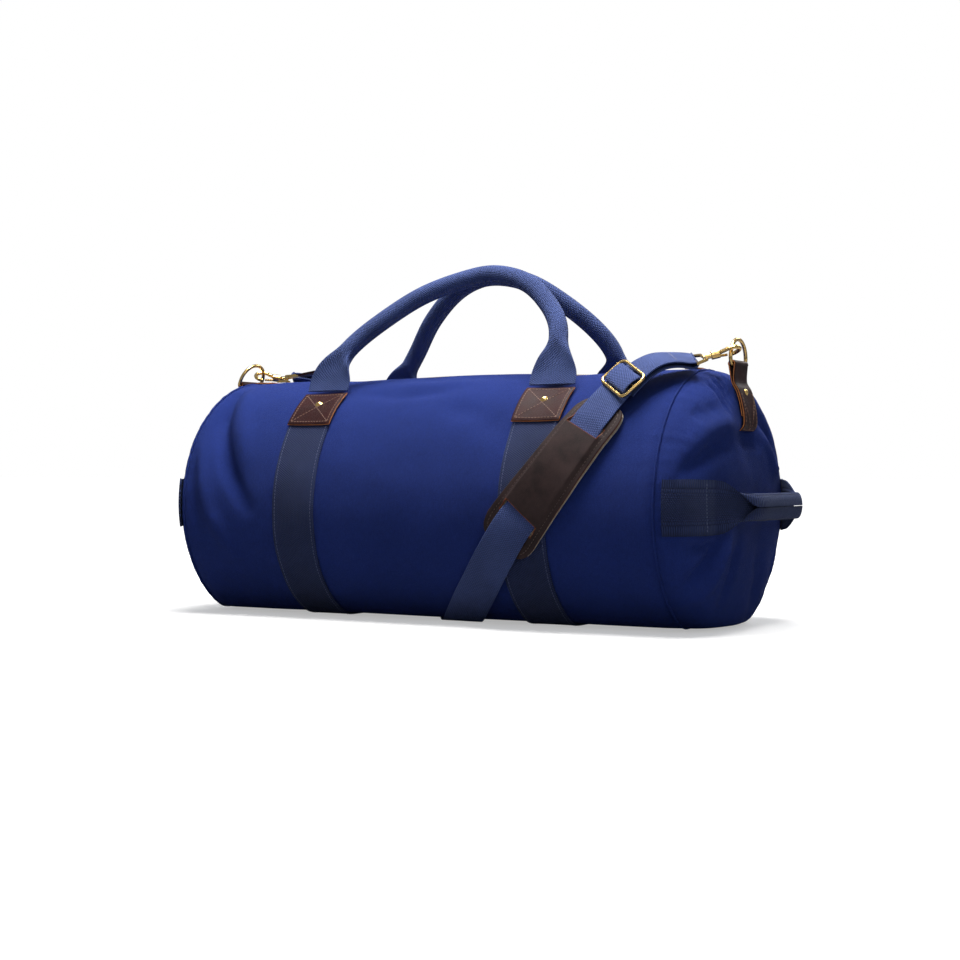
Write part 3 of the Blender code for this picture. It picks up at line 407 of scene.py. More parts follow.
def swell(angle, x):
    """How far the canvas stands off the plain barrel: it sags, bellies and folds."""
    angle = angle % 360.0
    side_angle = min(angle, 360.0 - angle)
    seam = HALF_LENGTH - abs(x)
    sag = -0.0030 * bump(side_angle, 66.0, 26.0)
    belly = 0.0036 * bump(side_angle, 132.0, 26.0)
    pressed = -0.0016 * sum(bump(x, place, 0.034) for place in BAND_X.values())
    pillow = 0.0012 * bump(x, (BAND_X["left"] + BAND_X["right"]) / 2, 0.09)
    droop = -0.0045 * smooth_step(1.0 - (x + HALF_LENGTH) / 0.055) * bump(side_angle, 40.0, 30.0)
    waves = 0.0011 * noise.noise(Vector((x * 9.0, side_angle / 34.0, angle / 300.0)))
    waves += 0.0006 * noise.noise(Vector((x * 24.0 + 7.0, angle / 13.0, 3.0)))
    gather = 0.0007 * noise.noise(Vector((angle / 3.4, x * 4.0, 9.0))) * math.exp(-seam / 0.014)
    valley = -0.0016 * math.exp(-(seam / 0.0045) ** 2)
    folds = fold_height(ROUND_FOLDS, x, math.radians(angle) * RADIUS)
    calm = smooth_step(seam / 0.02) * 0.75 + 0.25
    return (sag + belly + pressed + pillow + droop + waves + folds) * calm + gather + valley


def flatten(z, floor):
    """Turns a circle's lowest part into a flat base, with a soft bend on each side."""
    over = z - floor
    if over >= FLOOR_BLEND:
        return z
    if over <= -FLOOR_BLEND:
        return floor
    return floor + (over + FLOOR_BLEND) ** 2 / (4.0 * FLOOR_BLEND)


def barrel_point(angle, x, height):
    """A point at an angle round the barrel, a place along it, and a height over the canvas."""
    turn = math.radians(angle)
    radius = RADIUS + swell(angle, x) + height
    z = AXIS_Z + radius * math.cos(turn)
    floor = max(CANVAS_BOTTOM - height, LOWEST)
    return Vector((x + MID_X, -radius * math.sin(turn), flatten(z, floor)))


def panel_out(side, y, up):
    """How far an end panel stands out of its seam, away from the seam's own puckers."""
    sign = SIDES[side]
    bulge = BULGE_RIGHT if side == "right" else BULGE_LEFT
    share = min(math.hypot(y, up) / RADIUS, 1.0)
    soft = smooth_step((1.0 - share) * RADIUS / 0.010)
    out = bulge * (1.0 - share ** PANEL_POWER) ** (1.0 / PANEL_POWER)
    out += fold_height(PANEL_FOLDS[side], y, up) * soft
    return out + 0.0022 * noise.noise(Vector((y * 16.0, up * 16.0, 5.0 * sign))) * soft


def panel_shape(side, angle, rise, height):
    """A point of an end panel: rise is 0 at its seam and 90 at its middle."""
    sign = SIDES[side]
    turn = math.radians(angle)
    rim = RADIUS + swell(angle, sign * HALF_LENGTH)
    share = max(math.cos(math.radians(rise)), 0.0) ** (2.0 / PANEL_POWER)
    y = -RADIUS * share * math.sin(turn)
    up = RADIUS * share * math.cos(turn)
    seam = (1.0 - share) * RADIUS
    soft = smooth_step(seam / 0.010)
    out = panel_out(side, y, up)
    out += 0.0008 * noise.noise(Vector((y * 45.0, up * 45.0, 2.0))) * soft
    out += 0.0012 * noise.noise(Vector((angle / 4.0, 1.0, sign))) * math.exp(-seam / 0.012) * soft
    stretch = 1.0 + (rim / RADIUS - 1.0) * share
    place_x = sign * (HALF_LENGTH + out + height) + MID_X
    return Vector((place_x, y * stretch, flatten(AXIS_Z + up * stretch, CANVAS_BOTTOM)))


def panel_point(side, y, z, height):
    """A point over an end panel, found from its place across the bag and its height."""
    sign = SIDES[side]
    up = z - AXIS_Z
    step = 0.002
    slope_y = (panel_out(side, y + step, up) - panel_out(side, y - step, up)) / (2 * step)
    slope_z = (panel_out(side, y, up + step) - panel_out(side, y, up - step)) / (2 * step)
    normal = Vector((sign, -slope_y, -slope_z)).normalized()
    base = Vector((sign * (HALF_LENGTH + panel_out(side, y, up)) + MID_X, y, z))
    return base + normal * height


# ---------------------------------------------------------------- mesh builders
def finish_mesh(name, points, faces, weave, rim, look):
    material, slot = LOOKS[look]
    mesh = bpy.data.meshes.new(name)
    mesh.from_pydata(points, [], faces)
    bm = bmesh.new()
    bm.from_mesh(mesh)
    bmesh.ops.recalc_face_normals(bm, faces=bm.faces)
    bm.to_mesh(mesh)
    bm.free()
    grain = mesh.attributes.new("weave", "FLOAT_VECTOR", "POINT")
    for item, (along, across) in zip(grain.data, weave):
        item.vector = (along, across, 0.0)
    edge = mesh.attributes.new("rim", "FLOAT", "POINT")
    for item, value in zip(edge.data, rim):
        item.value = value
    mesh.materials.append(material)
    mesh.shade_smooth()
    mesh.set_sharp_from_angle(angle=math.radians(50.0))
    piece = bpy.data.objects.new(name, mesh)
    bpy.context.scene.collection.objects.link(piece)
    return piece


def slab(name, us, vs, place, thickness, look, edge=0.0, keep=None):
    """A sheet of real thickness: place(u, v, height) puts each crossing of the lines us and vs.

    With an edge width, the sheet's border is rounded; without, it is cut square.
    """
    run = distances([place(u, vs[len(vs) // 2], 0.0) for u in us])
    cross = distances([place(us[len(us) // 2], v, 0.0) for v in vs])
    columns = len(us) - 1
    rows = len(vs) - 1

    def fullness(i, j):
        if edge == 0.0:
            return 1.0
        a = 1.0 - min(min(run[i], run[-1] - run[i]) / edge, 1.0)
        b = 1.0 - min(min(cross[j], cross[-1] - cross[j]) / edge, 1.0)
        return math.sqrt(max(0.0, 1.0 - a * a - b * b))

    cells = set()
    for i in range(columns):
        for j in range(rows):
            if keep is None or keep((us[i] + us[i + 1]) / 2, (vs[j] + vs[j + 1]) / 2):
                cells.add((i, j))
    points = []
    weave = []
    rim = []
    index = {}

    def vertex(i, j, face):
        full = fullness(i, j)
        key = (i, j, face if full > 0.0 else 0)
        if key not in index:
            index[key] = len(points)
            points.append(place(us[i], vs[j], face * full * thickness / 2))
            weave.append((run[i], cross[j]))
            around = [(i - 1, j - 1), (i, j - 1), (i - 1, j), (i, j)]
            inside = [cell for cell in around if 0 <= cell[0] < columns and 0 <= cell[1] < rows]
            cut = edge > 0.0 and any(cell not in cells for cell in inside)
            rim.append(1.0 if cut else 1.0 - full)
        return index[key]

    faces = []
    for i, j in sorted(cells):
        corners = [(i, j), (i + 1, j), (i + 1, j + 1), (i, j + 1)]
        top = [vertex(*corner, 1) for corner in corners]
        under = [vertex(*corner, -1) for corner in reversed(corners)]
        faces += [list(dict.fromkeys(face)) for face in (top, under)]
        beside = [(i, j - 1), (i + 1, j), (i, j + 1), (i - 1, j)]
        for k, cell in enumerate(beside):
            if cell in cells:
                continue
            a = corners[k]
            b = corners[(k + 1) % 4]
            wall = [vertex(*a, 1), vertex(*a, -1), vertex(*b, -1), vertex(*b, 1)]
            if len(set(wall)) == 4:
                faces.append(wall)
    return finish_mesh(name, points, [face for face in faces if len(face) > 2], weave, rim, look)


def tube(name, rings, look, closed=False):
    """A closed skin through rings of equal point counts."""
    count = len(rings[0])
    centres = [sum(ring, Vector()) / count for ring in rings]
    points = []
    weave = []
    for ring, along in zip(rings, distances(centres)):
        for point, across in zip(ring, distances([*ring, ring[0]])):
            points.append(point)
            weave.append((along, across))
    faces = []
    last = len(rings) if closed else len(rings) - 1
    for i in range(last):
        low = i * count
        high = ((i + 1) % len(rings)) * count
        for j in range(count):
            k = (j + 1) % count
            faces.append((low + j, low + k, high + k, high + j))
    if not closed:
        faces.append(list(range(count - 1, -1, -1)))
        faces.append(list(range(len(points) - count, len(points))))
    return finish_mesh(name, points, faces, weave, [0.0] * len(points), look)


def wire(name, points, radius, look, closed=False, sides=14):
    """A round wire along the points."""
    count = len(points)
    rings = []
    normal = None
    for i, point in enumerate(points):
        before = points[(i - 1) % count] if closed else points[max(i - 1, 0)]
        after = points[(i + 1) % count] if closed else points[min(i + 1, count - 1)]
        along = (after - before).normalized()
        if normal is None:
            normal = along.orthogonal()
        normal = (normal - along * normal.dot(along)).normalized()
        across = along.cross(normal)
        ring = []
        for j in range(sides):
            turn = 2 * math.pi * j / sides
            ring.append(point + (normal * math.cos(turn) + across * math.sin(turn)) * radius)
        rings.append(ring)
    return tube(name, rings, look, closed)


def stitches(name, runs, look, pitch=0.0034, thread=0.00042):
    """Short threads along runs of (point, normal), each dipping into the cloth at both ends."""
    points = []
    faces = []
    sides = 6
    for run in runs:
        places = [p for p, n in run]
        normals = [n for p, n in run]
        lengths = distances(places)
        count = max(1, int(lengths[-1] / pitch))

        def at(distance):
            k = 0
            while k < len(lengths) - 2 and lengths[k + 1] < distance:
                k += 1
            share = (distance - lengths[k]) / max(lengths[k + 1] - lengths[k], 1e-9)
            return places[k].lerp(places[k + 1], share), normals[k].lerp(normals[k + 1], share)

        for i in range(count):
            first, up = at(lengths[-1] * (i + 0.12) / count)
            last, up_last = at(lengths[-1] * (i + 0.88) / count)
            along = (last - first).normalized()
            across = along.cross(up).normalized()
            base = len(points)
            for share, size in ((0.0, 0.55), (0.2, 0.95), (0.5, 1.0), (0.8, 0.95), (1.0, 0.55)):
                centre = first.lerp(last, share)
                centre = centre + up * thread * (0.7 * math.sin(math.pi * share) - 0.35)
                for j in range(sides):
                    turn = 2 * math.pi * j / sides
                    offset = across * math.cos(turn) + up * math.sin(turn)
                    points.append(centre + offset * thread * size)
            for k in range(4):
                for j in range(sides):
                    m = (j + 1) % sides
                    low = base + k * sides
                    faces.append((low + j, low + m, low + sides + m, low + sides + j))
            faces.append([base + j for j in range(sides - 1, -1, -1)])
            faces.append([base + 4 * sides + j for j in range(sides)])
    return finish_mesh(name, points, faces, [(0.0, 0.0)] * len(points), [0.0] * len(points), look)


def surface_run(place, line, height):
    """Points with normals for a seam: line is a list of (u, v) on the sheet that place gives."""
    run = []
    for u, v in line:
        low = place(u, v, height)
        run.append((low, (place(u, v, height + 0.002) - low).normalized()))
    return run


# ---------------------------------------------------------------- materials
class Look:
    """One procedural material: its node tree is grown from these small steps."""

    def __init__(self, name, **sockets):
        self.material = bpy.data.materials.new(name)
        self.material.use_nodes = True
        self.tree = self.material.node_tree
        self.shader = self.tree.nodes["Principled BSDF"]
        for socket, value in sockets.items():
            self.shader.inputs[socket.replace("_", " ")].default_value = value

    def add(self, kind, **settings):
        node = self.tree.nodes.new(kind)
        for key, value in settings.items():
            setattr(node, key, value)
        return node

    def put(self, socket, value):
        if isinstance(value, bpy.types.NodeSocket):
            self.tree.links.new(value, socket)
        else:
            socket.default_value = value

    def weave(self):
        """The cloth's own coordinates in metres: along it and across it."""
        grain = self.add("ShaderNodeAttribute", attribute_name="weave")
        parts = self.add("ShaderNodeSeparateXYZ")
        self.put(parts.inputs[0], grain.outputs["Vector"])
        return parts.outputs[0], parts.outputs[1]

    def rim(self):
        return self.add("ShaderNodeAttribute", attribute_name="rim").outputs["Fac"]

    def place(self):
        return self.add("ShaderNodeTexCoord").outputs["Object"]

    def stretch(self, vector, scale):
        node = self.add("ShaderNodeVectorMath", operation="MULTIPLY")
        self.put(node.inputs[0], vector)
        self.put(node.inputs[1], scale)
        return node.outputs[0]

    def math(self, operation, a, b=0.0):
        node = self.add("ShaderNodeMath", operation=operation)
        self.put(node.inputs[0], a)
        self.put(node.inputs[1], b)
        return node.outputs[0]

    def noise(self, vector, scale, detail=3.0, roughness=0.5):
        node = self.add("ShaderNodeTexNoise")
        self.put(node.inputs["Vector"], vector)
        node.inputs["Scale"].default_value = scale
        node.inputs["Detail"].default_value = detail
        node.inputs["Roughness"].default_value = roughness
        return node.outputs[0]

    def cells(self, vector, scale):
        node = self.add("ShaderNodeTexVoronoi", feature="DISTANCE_TO_EDGE")
        self.put(node.inputs["Vector"], vector)
        node.inputs["Scale"].default_value = scale
        return node.outputs[0]

    def fit(self, value, low, high, to_low=0.0, to_high=1.0):
        node = self.add("ShaderNodeMapRange")
        for socket, number in zip(node.inputs, (value, low, high, to_low, to_high)):
            self.put(socket, number)
        return node.outputs[0]

    def mix(self, share, first, second):
        node = self.add("ShaderNodeMix", data_type="RGBA")
        self.put(node.inputs[0], share)
        for socket, value in ((node.inputs[6], first), (node.inputs[7], second)):
            self.put(socket, (*value, 1.0) if isinstance(value, tuple) else value)
        return node.outputs[2]

    def colour(self, value):
        self.put(self.shader.inputs["Base Color"], value)

    def roughness(self, value):
        self.put(self.shader.inputs["Roughness"], value)

    def relief(self, height, distance, strength=1.0):
        node = self.add("ShaderNodeBump")
        node.inputs["Strength"].default_value = strength
        node.inputs["Distance"].default_value = distance
        self.put(node.inputs["Height"], height)
        self.put(self.shader.inputs["Normal"], node.outputs[0])

    def ripple(self, value, pitch):
        """A wave of 0 to 1 with one crest for each pitch."""
        return self.math("ABSOLUTE", self.math("SINE", self.math("MULTIPLY", value, math.pi / pitch)))


def canvas_look():
    look = Look("navy_canvas", Roughness=0.88, Sheen_Weight=0.05, Sheen_Roughness=0.4)
    look.shader.inputs["Sheen Tint"].default_value = (0.25, 0.40, 1.0, 1.0)
    look.shader.inputs["Specular IOR Level"].default_value = 0.12
    along, across = look.weave()
    threads = look.math("MULTIPLY", look.ripple(along, 0.00070), look.ripple(across, 0.00070))
    place = look.place()
    slub = look.noise(look.stretch(place, (1.0, 1.0, 0.25)), 650.0)
    fibre = look.noise(place, 2600.0, 4.0)
    broad = look.noise(place, 14.0, 3.0)
    worn = look.noise(place, 55.0, 4.0, 0.6)
    base = look.mix(look.fit(broad, 0.3, 0.7), (0.0085, 0.0205, 0.125), (0.0120, 0.0285, 0.175))
    rubbed = look.math("MULTIPLY", look.fit(worn, 0.55, 0.85), 0.25)
    base = look.mix(rubbed, base, (0.022, 0.048, 0.25))
    light = look.math("ADD", look.math("MULTIPLY", threads, 0.6), look.math("MULTIPLY", slub, 0.4))
    base = look.mix(look.fit(light, 0.20, 0.70, 0.0, 0.7), base, (0.026, 0.058, 0.330))
    dark = look.math("MULTIPLY", look.fit(fibre, 0.38, 0.58, 1.0, 0.0), 0.6)
    look.colour(look.mix(dark, base, (0.0060, 0.0140, 0.090)))
    height = look.math("ADD", threads, look.math("MULTIPLY", look.math("ADD", slub, fibre), 0.45))
    look.relief(height, 0.00045, 1.0)
    return look.material


def webbing_look(name, dark, light):
    look = Look(name, Roughness=0.82, Sheen_Weight=0.08, Sheen_Roughness=0.4)
    look.shader.inputs["Sheen Tint"].default_value = (0.6, 0.7, 1.0, 1.0)
    look.shader.inputs["Specular IOR Level"].default_value = 0.18
    along, across = look.weave()
    column = 0.0017
    rib = 0.0021
    step = look.math("MODULO", look.math("FLOOR", look.math("DIVIDE", across, column)), 2.0)
    shifted = look.math("ADD", along, look.math("MULTIPLY", step, rib / 2))
    cords = look.math("POWER", look.ripple(across, column), 0.5)
    knots = look.math("MULTIPLY", look.ripple(shifted, rib), cords)
    place = look.place()
    fibre = look.noise(place, 1900.0, 4.0)
    broad = look.noise(place, 22.0, 3.0)
    shade = look.math("ADD", look.math("MULTIPLY", knots, 0.62), look.math("MULTIPLY", fibre, 0.38))
    base = look.mix(look.fit(shade, 0.12, 0.72), dark, light)
    faded = tuple(min(1.0, part * 1.5 + 0.006) for part in light)
    look.colour(look.mix(look.fit(broad, 0.35, 0.75, 0.0, 0.3), base, faded))
    look.relief(look.math("ADD", knots, look.math("MULTIPLY", fibre, 0.3)), 0.0008, 1.0)
    return look.material


def leather_look(name, deep, warm, raw, polish):
    look = Look(name)
    look.shader.inputs["Specular IOR Level"].default_value = 0.12
    place = look.place()
    mottled = look.noise(place, 70.0, 5.0, 0.62)
    clouds = look.noise(place, 20.0, 3.0)
    creases = look.fit(look.cells(place, 900.0), 0.0, 0.10)
    pores = look.noise(place, 1500.0, 3.0)
    base = look.mix(look.fit(mottled, 0.35, 0.68), deep, warm)
    pale = tuple(part * 1.55 + 0.004 for part in warm)
    base = look.mix(look.math("MULTIPLY", look.fit(clouds, 0.5, 0.78), 0.45), base, pale)
    edge = look.math("ADD", look.rim(), look.fit(mottled, 0.3, 0.7, -0.12, 0.12))
    look.colour(look.mix(look.fit(edge, 0.34, 0.54), base, raw))
    look.roughness(look.fit(mottled, 0.3, 0.7, polish - 0.08, polish + 0.12))
    height = look.math("ADD", look.math("MULTIPLY", creases, 0.7), look.math("MULTIPLY", pores, 0.5))
    look.relief(height, 0.00018, 0.6)
    return look.material


def felt_look():
    look = Look("tan_felt", Roughness=0.95, Sheen_Weight=0.4, Sheen_Roughness=0.6)
    place = look.place()
    tufts = look.noise(place, 520.0, 5.0, 0.7)
    broad = look.noise(place, 60.0, 3.0)
    base = look.mix(look.fit(tufts, 0.3, 0.7), (0.16, 0.125, 0.085), (0.40, 0.33, 0.235))
    look.colour(look.mix(look.fit(broad, 0.4, 0.8, 0.0, 0.35), base, (0.24, 0.19, 0.13)))
    look.relief(tufts, 0.0007, 0.9)
    return look.material


def brass_look():
    look = Look("polished_brass", Metallic=1.0)
    place = look.place()
    smears = look.noise(place, 180.0, 4.0, 0.6)
    scratches = look.noise(look.stretch(place, (0.15, 1.0, 1.0)), 2600.0, 3.0)
    look.colour(look.mix(look.fit(smears, 0.35, 0.7), (0.86, 0.60, 0.24), (0.70, 0.44, 0.14)))
    look.roughness(look.fit(smears, 0.3, 0.75, 0.14, 0.34))
    look.relief(scratches, 0.00002, 0.35)
    return look.material


def thread_look(name, dark, light):
    look = Look(name, Roughness=0.6, Sheen_Weight=0.3)
    place = look.place()
    look.colour(look.mix(look.fit(look.noise(place, 900.0), 0.3, 0.7), dark, light))
    look.relief(look.noise(place, 3000.0, 2.0), 0.0001, 0.5)
    return look.material


WEB_DARK = (0.0060, 0.0100, 0.036)
WEB_LIGHT = (0.054, 0.086, 0.250)
# A darker copy of the same navy webbing for the bands and end handles: painted shade, standing for the
# shade they lie in.
BAND_SHADED_DARK = (0.0028, 0.0045, 0.017)
BAND_SHADED_LIGHT = (0.019, 0.031, 0.098)
STRAP_DARK = (0.0060, 0.0100, 0.036)
STRAP_LIGHT = (0.060, 0.092, 0.260)
TAPE_DARK = (0.010, 0.018, 0.070)
TAPE_LIGHT = (0.030, 0.045, 0.150)
LEATHER_DEEP = (0.019, 0.0048, 0.0048)
LEATHER_WARM = (0.034, 0.0082, 0.0080)
LEATHER_RAW = (0.46, 0.17, 0.060)
PAD_DEEP = (0.019, 0.0115, 0.0115)
PAD_WARM = (0.036, 0.0215, 0.0205)
PAD_RAW = (0.14, 0.040, 0.018)
LOOKS = {
    "canvas": (canvas_look(), "canvas"),
    "webbing": (webbing_look("blue_webbing", WEB_DARK, WEB_LIGHT), "webbing"),
    # The band look is the webbing with painted shade.
    "band": (webbing_look("band_webbing_painted_shade", BAND_SHADED_DARK, BAND_SHADED_LIGHT), "webbing"),
    "strap": (webbing_look("strap_webbing", STRAP_DARK, STRAP_LIGHT), "webbing"),
    "tape": (webbing_look("zip_tape_cloth", TAPE_DARK, TAPE_LIGHT), "webbing"),
    "leather": (leather_look("brown_leather", LEATHER_DEEP, LEATHER_WARM, LEATHER_RAW, 0.42), "leather"),
    "pad": (leather_look("pad_leather", PAD_DEEP, PAD_WARM, PAD_RAW, 0.52), "pad_leather"),
    "felt": (felt_look(), "felt"),
    "brass": (brass_look(), "brass"),
    "brown_thread": (thread_look("brown_thread", (0.10, 0.042, 0.024), (0.22, 0.10, 0.055)), "leather"),
    "pad_thread": (thread_look("pad_thread", (0.030, 0.014, 0.010), (0.075, 0.034, 0.024)), "pad_leather"),
    "blue_thread": (thread_look("blue_thread", (0.030, 0.042, 0.110), (0.070, 0.090, 0.210)), "webbing"),
}


# ---------------------------------------------------------------- stage, light and camera
def make_stage():
    """A white studio: soft light from above and the front left, and a pale floor.

    The floor and the backdrop are white to look at, but throw back little light, as black cards
    round a studio table do. To the camera the floor also has a painted glow, weaker near the bag,
    so the floor is painted darker round the bag.
    """
    bpy.context.scene.view_settings.view_transform = "Standard"
    world = bpy.data.worlds.new("studio")
    bpy.context.scene.world = world
    world.use_nodes = True
    tree = world.node_tree
    dim = tree.nodes["Background"]
    dim.inputs["Color"].default_value = (0.86, 0.92, 1.0, 1.0)
    dim.inputs["Strength"].default_value = 0.30
    white = tree.nodes.new("ShaderNodeBackground")
    white.inputs["Color"].default_value = (1.0, 1.0, 1.0, 1.0)
    seen = tree.nodes.new("ShaderNodeLightPath")
    mixed = tree.nodes.new("ShaderNodeMixShader")
    tree.links.new(seen.outputs["Is Camera Ray"], mixed.inputs[0])
    tree.links.new(dim.outputs[0], mixed.inputs[1])
    tree.links.new(white.outputs[0], mixed.inputs[2])
    tree.links.new(mixed.outputs[0], tree.nodes["World Output"].inputs[0])

    floor_mesh = bpy.data.meshes.new("floor")
    reach = 30.0
    corners = [(-reach, -reach, 0.0), (reach, -reach, 0.0), (reach, reach, 0.0), (-reach, reach, 0.0)]
    floor_mesh.from_pydata(corners, [], [(0, 1, 2, 3)])
    floor = bpy.data.objects.new("floor", floor_mesh)
    bpy.context.scene.collection.objects.link(floor)
    pale = Look("pale_floor_painted_glow", Roughness=0.9)
    pale.colour((0.24, 0.24, 0.25, 1.0))
    bright = pale.add("ShaderNodeBsdfDiffuse")
    bright.inputs["Color"].default_value = (0.60, 0.60, 0.60, 1.0)
    # Painted glow: the floor emits light towards the camera, weak near the bag and full far off, so the
    # floor is painted darker round the bag.
    painted_floor_glow = pale.add("ShaderNodeEmission")
    span = pale.add("ShaderNodeVectorMath", operation="LENGTH")
    pale.put(span.inputs[0], pale.place())
    pale.put(painted_floor_glow.inputs["Strength"], pale.fit(span.outputs["Value"], 0.40, 1.10, 0.42, 1.0))
    shown = pale.add("ShaderNodeAddShader")
    pale.put(shown.inputs[0], bright.outputs[0])
    pale.put(shown.inputs[1], painted_floor_glow.outputs[0])
    either = pale.add("ShaderNodeMixShader")
    pale.put(either.inputs[0], pale.add("ShaderNodeLightPath").outputs["Is Camera Ray"])
    pale.put(either.inputs[1], pale.shader.outputs[0])
    pale.put(either.inputs[2], shown.outputs[0])
    pale.put(pale.tree.nodes["Material Output"].inputs[0], either.outputs[0])
    floor_mesh.materials.append(pale.material)

    aim = Vector((MID_X, 0.0, AXIS_Z))
    lights = [
        ("overhead", (0.05, -0.04, 1.50), 0.8, 50.0, (1.0, 0.98, 0.96)),
        ("front_right", (1.60, -1.30, 0.90), 0.7, 3.6, (1.0, 0.99, 0.98)),
        ("handle_edge", (0.30, 1.50, 1.20), 0.7, 9.0, (1.0, 0.99, 0.97)),
    ]
    for name, place, size, power, colour in lights:
        lamp = bpy.data.lights.new(name, "AREA")
        lamp.size = size
        lamp.energy = power
        lamp.color = colour
        holder = bpy.data.objects.new(name, lamp)
        holder.location = place
        holder.rotation_euler = (aim - Vector(place)).to_track_quat("-Z", "Y").to_euler()
        bpy.context.scene.collection.objects.link(holder)


def make_camera():
    lens = bpy.data.cameras.new("camera")
    lens.lens = 63.6
    lens.sensor_width = 36.0
    camera = bpy.data.objects.new("camera", lens)
    azimuth = math.radians(30.27)
    pitch = math.radians(0.27)
    level = math.cos(pitch)
    ahead = Vector((-math.sin(azimuth) * level, math.cos(azimuth) * level, -math.sin(pitch)))
    camera.location = (0.9144 + MID_X, -1.5391, 0.151)
    camera.rotation_euler = ahead.to_track_quat("-Z", "Y").to_euler()
    bpy.context.scene.collection.objects.link(camera)
    bpy.context.scene.camera = camera


# ---------------------------------------------------------------- canvas
def make_canvas(fine):
    ends = spread(-HALF_LENGTH, -SLOT_HALF_LENGTH, 6 * fine)
    middle = spread(-SLOT_HALF_LENGTH, SLOT_HALF_LENGTH, 100 * fine)
    places = ends + middle[1:] + [-x for x in reversed(ends)][1:]
    angles = spread(-180.0, -FLAP_ANGLE, 70 * fine)
    angles += spread(-FLAP_ANGLE, FLAP_ANGLE, 16 * fine)[1:]
    angles += spread(FLAP_ANGLE, 180.0, 70 * fine)[1:]

    def place(angle, x, height):
        return barrel_point(angle, x, height - CANVAS / 2)

    def keep(angle, x):
        return abs(angle) > FLAP_ANGLE or abs(x) > SLOT_HALF_LENGTH

    barrel = slab("canvas_barrel", angles, places, place, CANVAS, "canvas", keep=keep)
    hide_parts("body_shell")
    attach(barrel, "bag")
    rises = [90.0 * (i / 45) ** 1.35 for i in range(45)] + [89.6]
    turns = spread(0.0, 360.0, 140 * fine)
    for side, sign in SIDES.items():
        def panel_place(angle, rise, height):
            return panel_shape(side, angle, rise, height - CANVAS / 2)

        panel = slab("canvas_end_" + side, turns, rises, panel_place, CANVAS, "canvas")
        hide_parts("end_panel_" + side)
        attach(panel, "bag")
        line = []
        for angle in spread(0.0, 360.0, 240)[:-1]:
            tucked = WELT_TUCK * bump(angle, 180.0, 30.0)
            place_x = sign * (HALF_LENGTH - WELT_INSET)
            line.append(barrel_point(angle, place_x, WELT_STAND - tucked))
        welt = wire("seam_welt_" + side, line, WELT_RADIUS, "canvas", closed=True, sides=8)
        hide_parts("end_welt_" + side)
        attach(welt, "bag")


# ---------------------------------------------------------------- mouth and zip
def make_tooth_row(name, front, start, end):
    """Brass teeth along one edge of the zip; the two rows stand half a pitch apart."""
    points = []
    faces = []
    shift = 0.0 if front > 0 else TOOTH_PITCH / 2
    outline = (
        (0.0046, 0.00062, 0.0011), (0.0026, 0.00062, 0.0011),
        (0.0006, 0.00082, 0.0012), (-0.0006, 0.00070, 0.0010),
    )
    for i in range(int(round((end - start) / TOOTH_PITCH))):
        x = start + shift + TOOTH_PITCH * (i + 0.25)
        base = len(points)
        for y, half_x, half_z in outline:
            angle = front * math.degrees(y / RADIUS)
            for dx, dz in ((-1, -1), (1, -1), (1, 1), (-1, 1)):
                points.append(barrel_point(angle, x + dx * half_x, dz * half_z - TOOTH_DEPTH))
        for k in range(3):
            for j in range(4):
                low = base + 4 * k
                m = (j + 1) % 4
                faces.append((low + j, low + m, low + 4 + m, low + 4 + j))
        faces.append([base + j for j in (3, 2, 1, 0)])
        faces.append([base + 12 + j for j in range(4)])
    return finish_mesh(name, points, faces, [(0.0, 0.0)] * len(points), [0.0] * len(points), "brass")


def make_mouth(fine):
    """The two soft edges of the mouth: each hangs on its fold, in a middle span and two end spans up to
    the zip's ends.
    """
    twist = SLOT_HALF_LENGTH - TWIST_LENGTH
    spans = {
        "left": (-SLOT_HALF_LENGTH, -twist, 12 * fine),
        "middle": (-twist, twist, 76 * fine),
        "right": (twist, SLOT_HALF_LENGTH, 12 * fine),
    }
    edge_angle = math.degrees(MOUTH_EDGE / RADIUS)
    tape_start = math.degrees(TAPE_INNER / RADIUS)
    tape_end = math.degrees(TAPE_OUTER / RADIUS)

    def flap_place(angle, x, height):
        tucked = MOUTH_TUCK * bump(abs(angle), edge_angle, 1.2)
        return barrel_point(angle, x, height - CANVAS / 2 - tucked)

    def tape_place(angle, x, height):
        return barrel_point(angle, x, height - TAPE_DEPTH)

    for name, front in FRONTS.items():
        body = "mouth_" + name
        flap_angles = spread(front * edge_angle, front * FLAP_ANGLE, 8 * fine)
        tape_angles = spread(front * tape_start, front * tape_end, 4)
        for part, (start, end, count) in spans.items():
            places = spread(start, end, count)
            label = name + "_" + part
            cloth = slab("mouth_" + label, flap_angles, places, flap_place, CANVAS, "canvas")
            strip = slab("tape_" + label, tape_angles, places, tape_place, TAPE_THICK, "tape")
            low = max(start, -ZIP_HALF_LENGTH)
            high = min(end, ZIP_HALF_LENGTH)
            teeth = make_tooth_row("teeth_" + label, front, low, high)
            for piece, node in zip((cloth, strip, teeth), ("mouth_flap_", "zip_tape_", "zip_teeth_")):
                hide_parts(node + name)
                if part == "middle":
                    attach(piece, body)
                    continue
                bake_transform(piece)
        line = []
        for x in spread(-twist, twist, 60):
            line.append(barrel_point(front * FLAP_ANGLE, x, -MOUTH_FOLD_DEPTH))
        fold = wire("mouth_fold_" + name, line, MOUTH_FOLD_RADIUS, "canvas", sides=12)
        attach(fold, "bag")


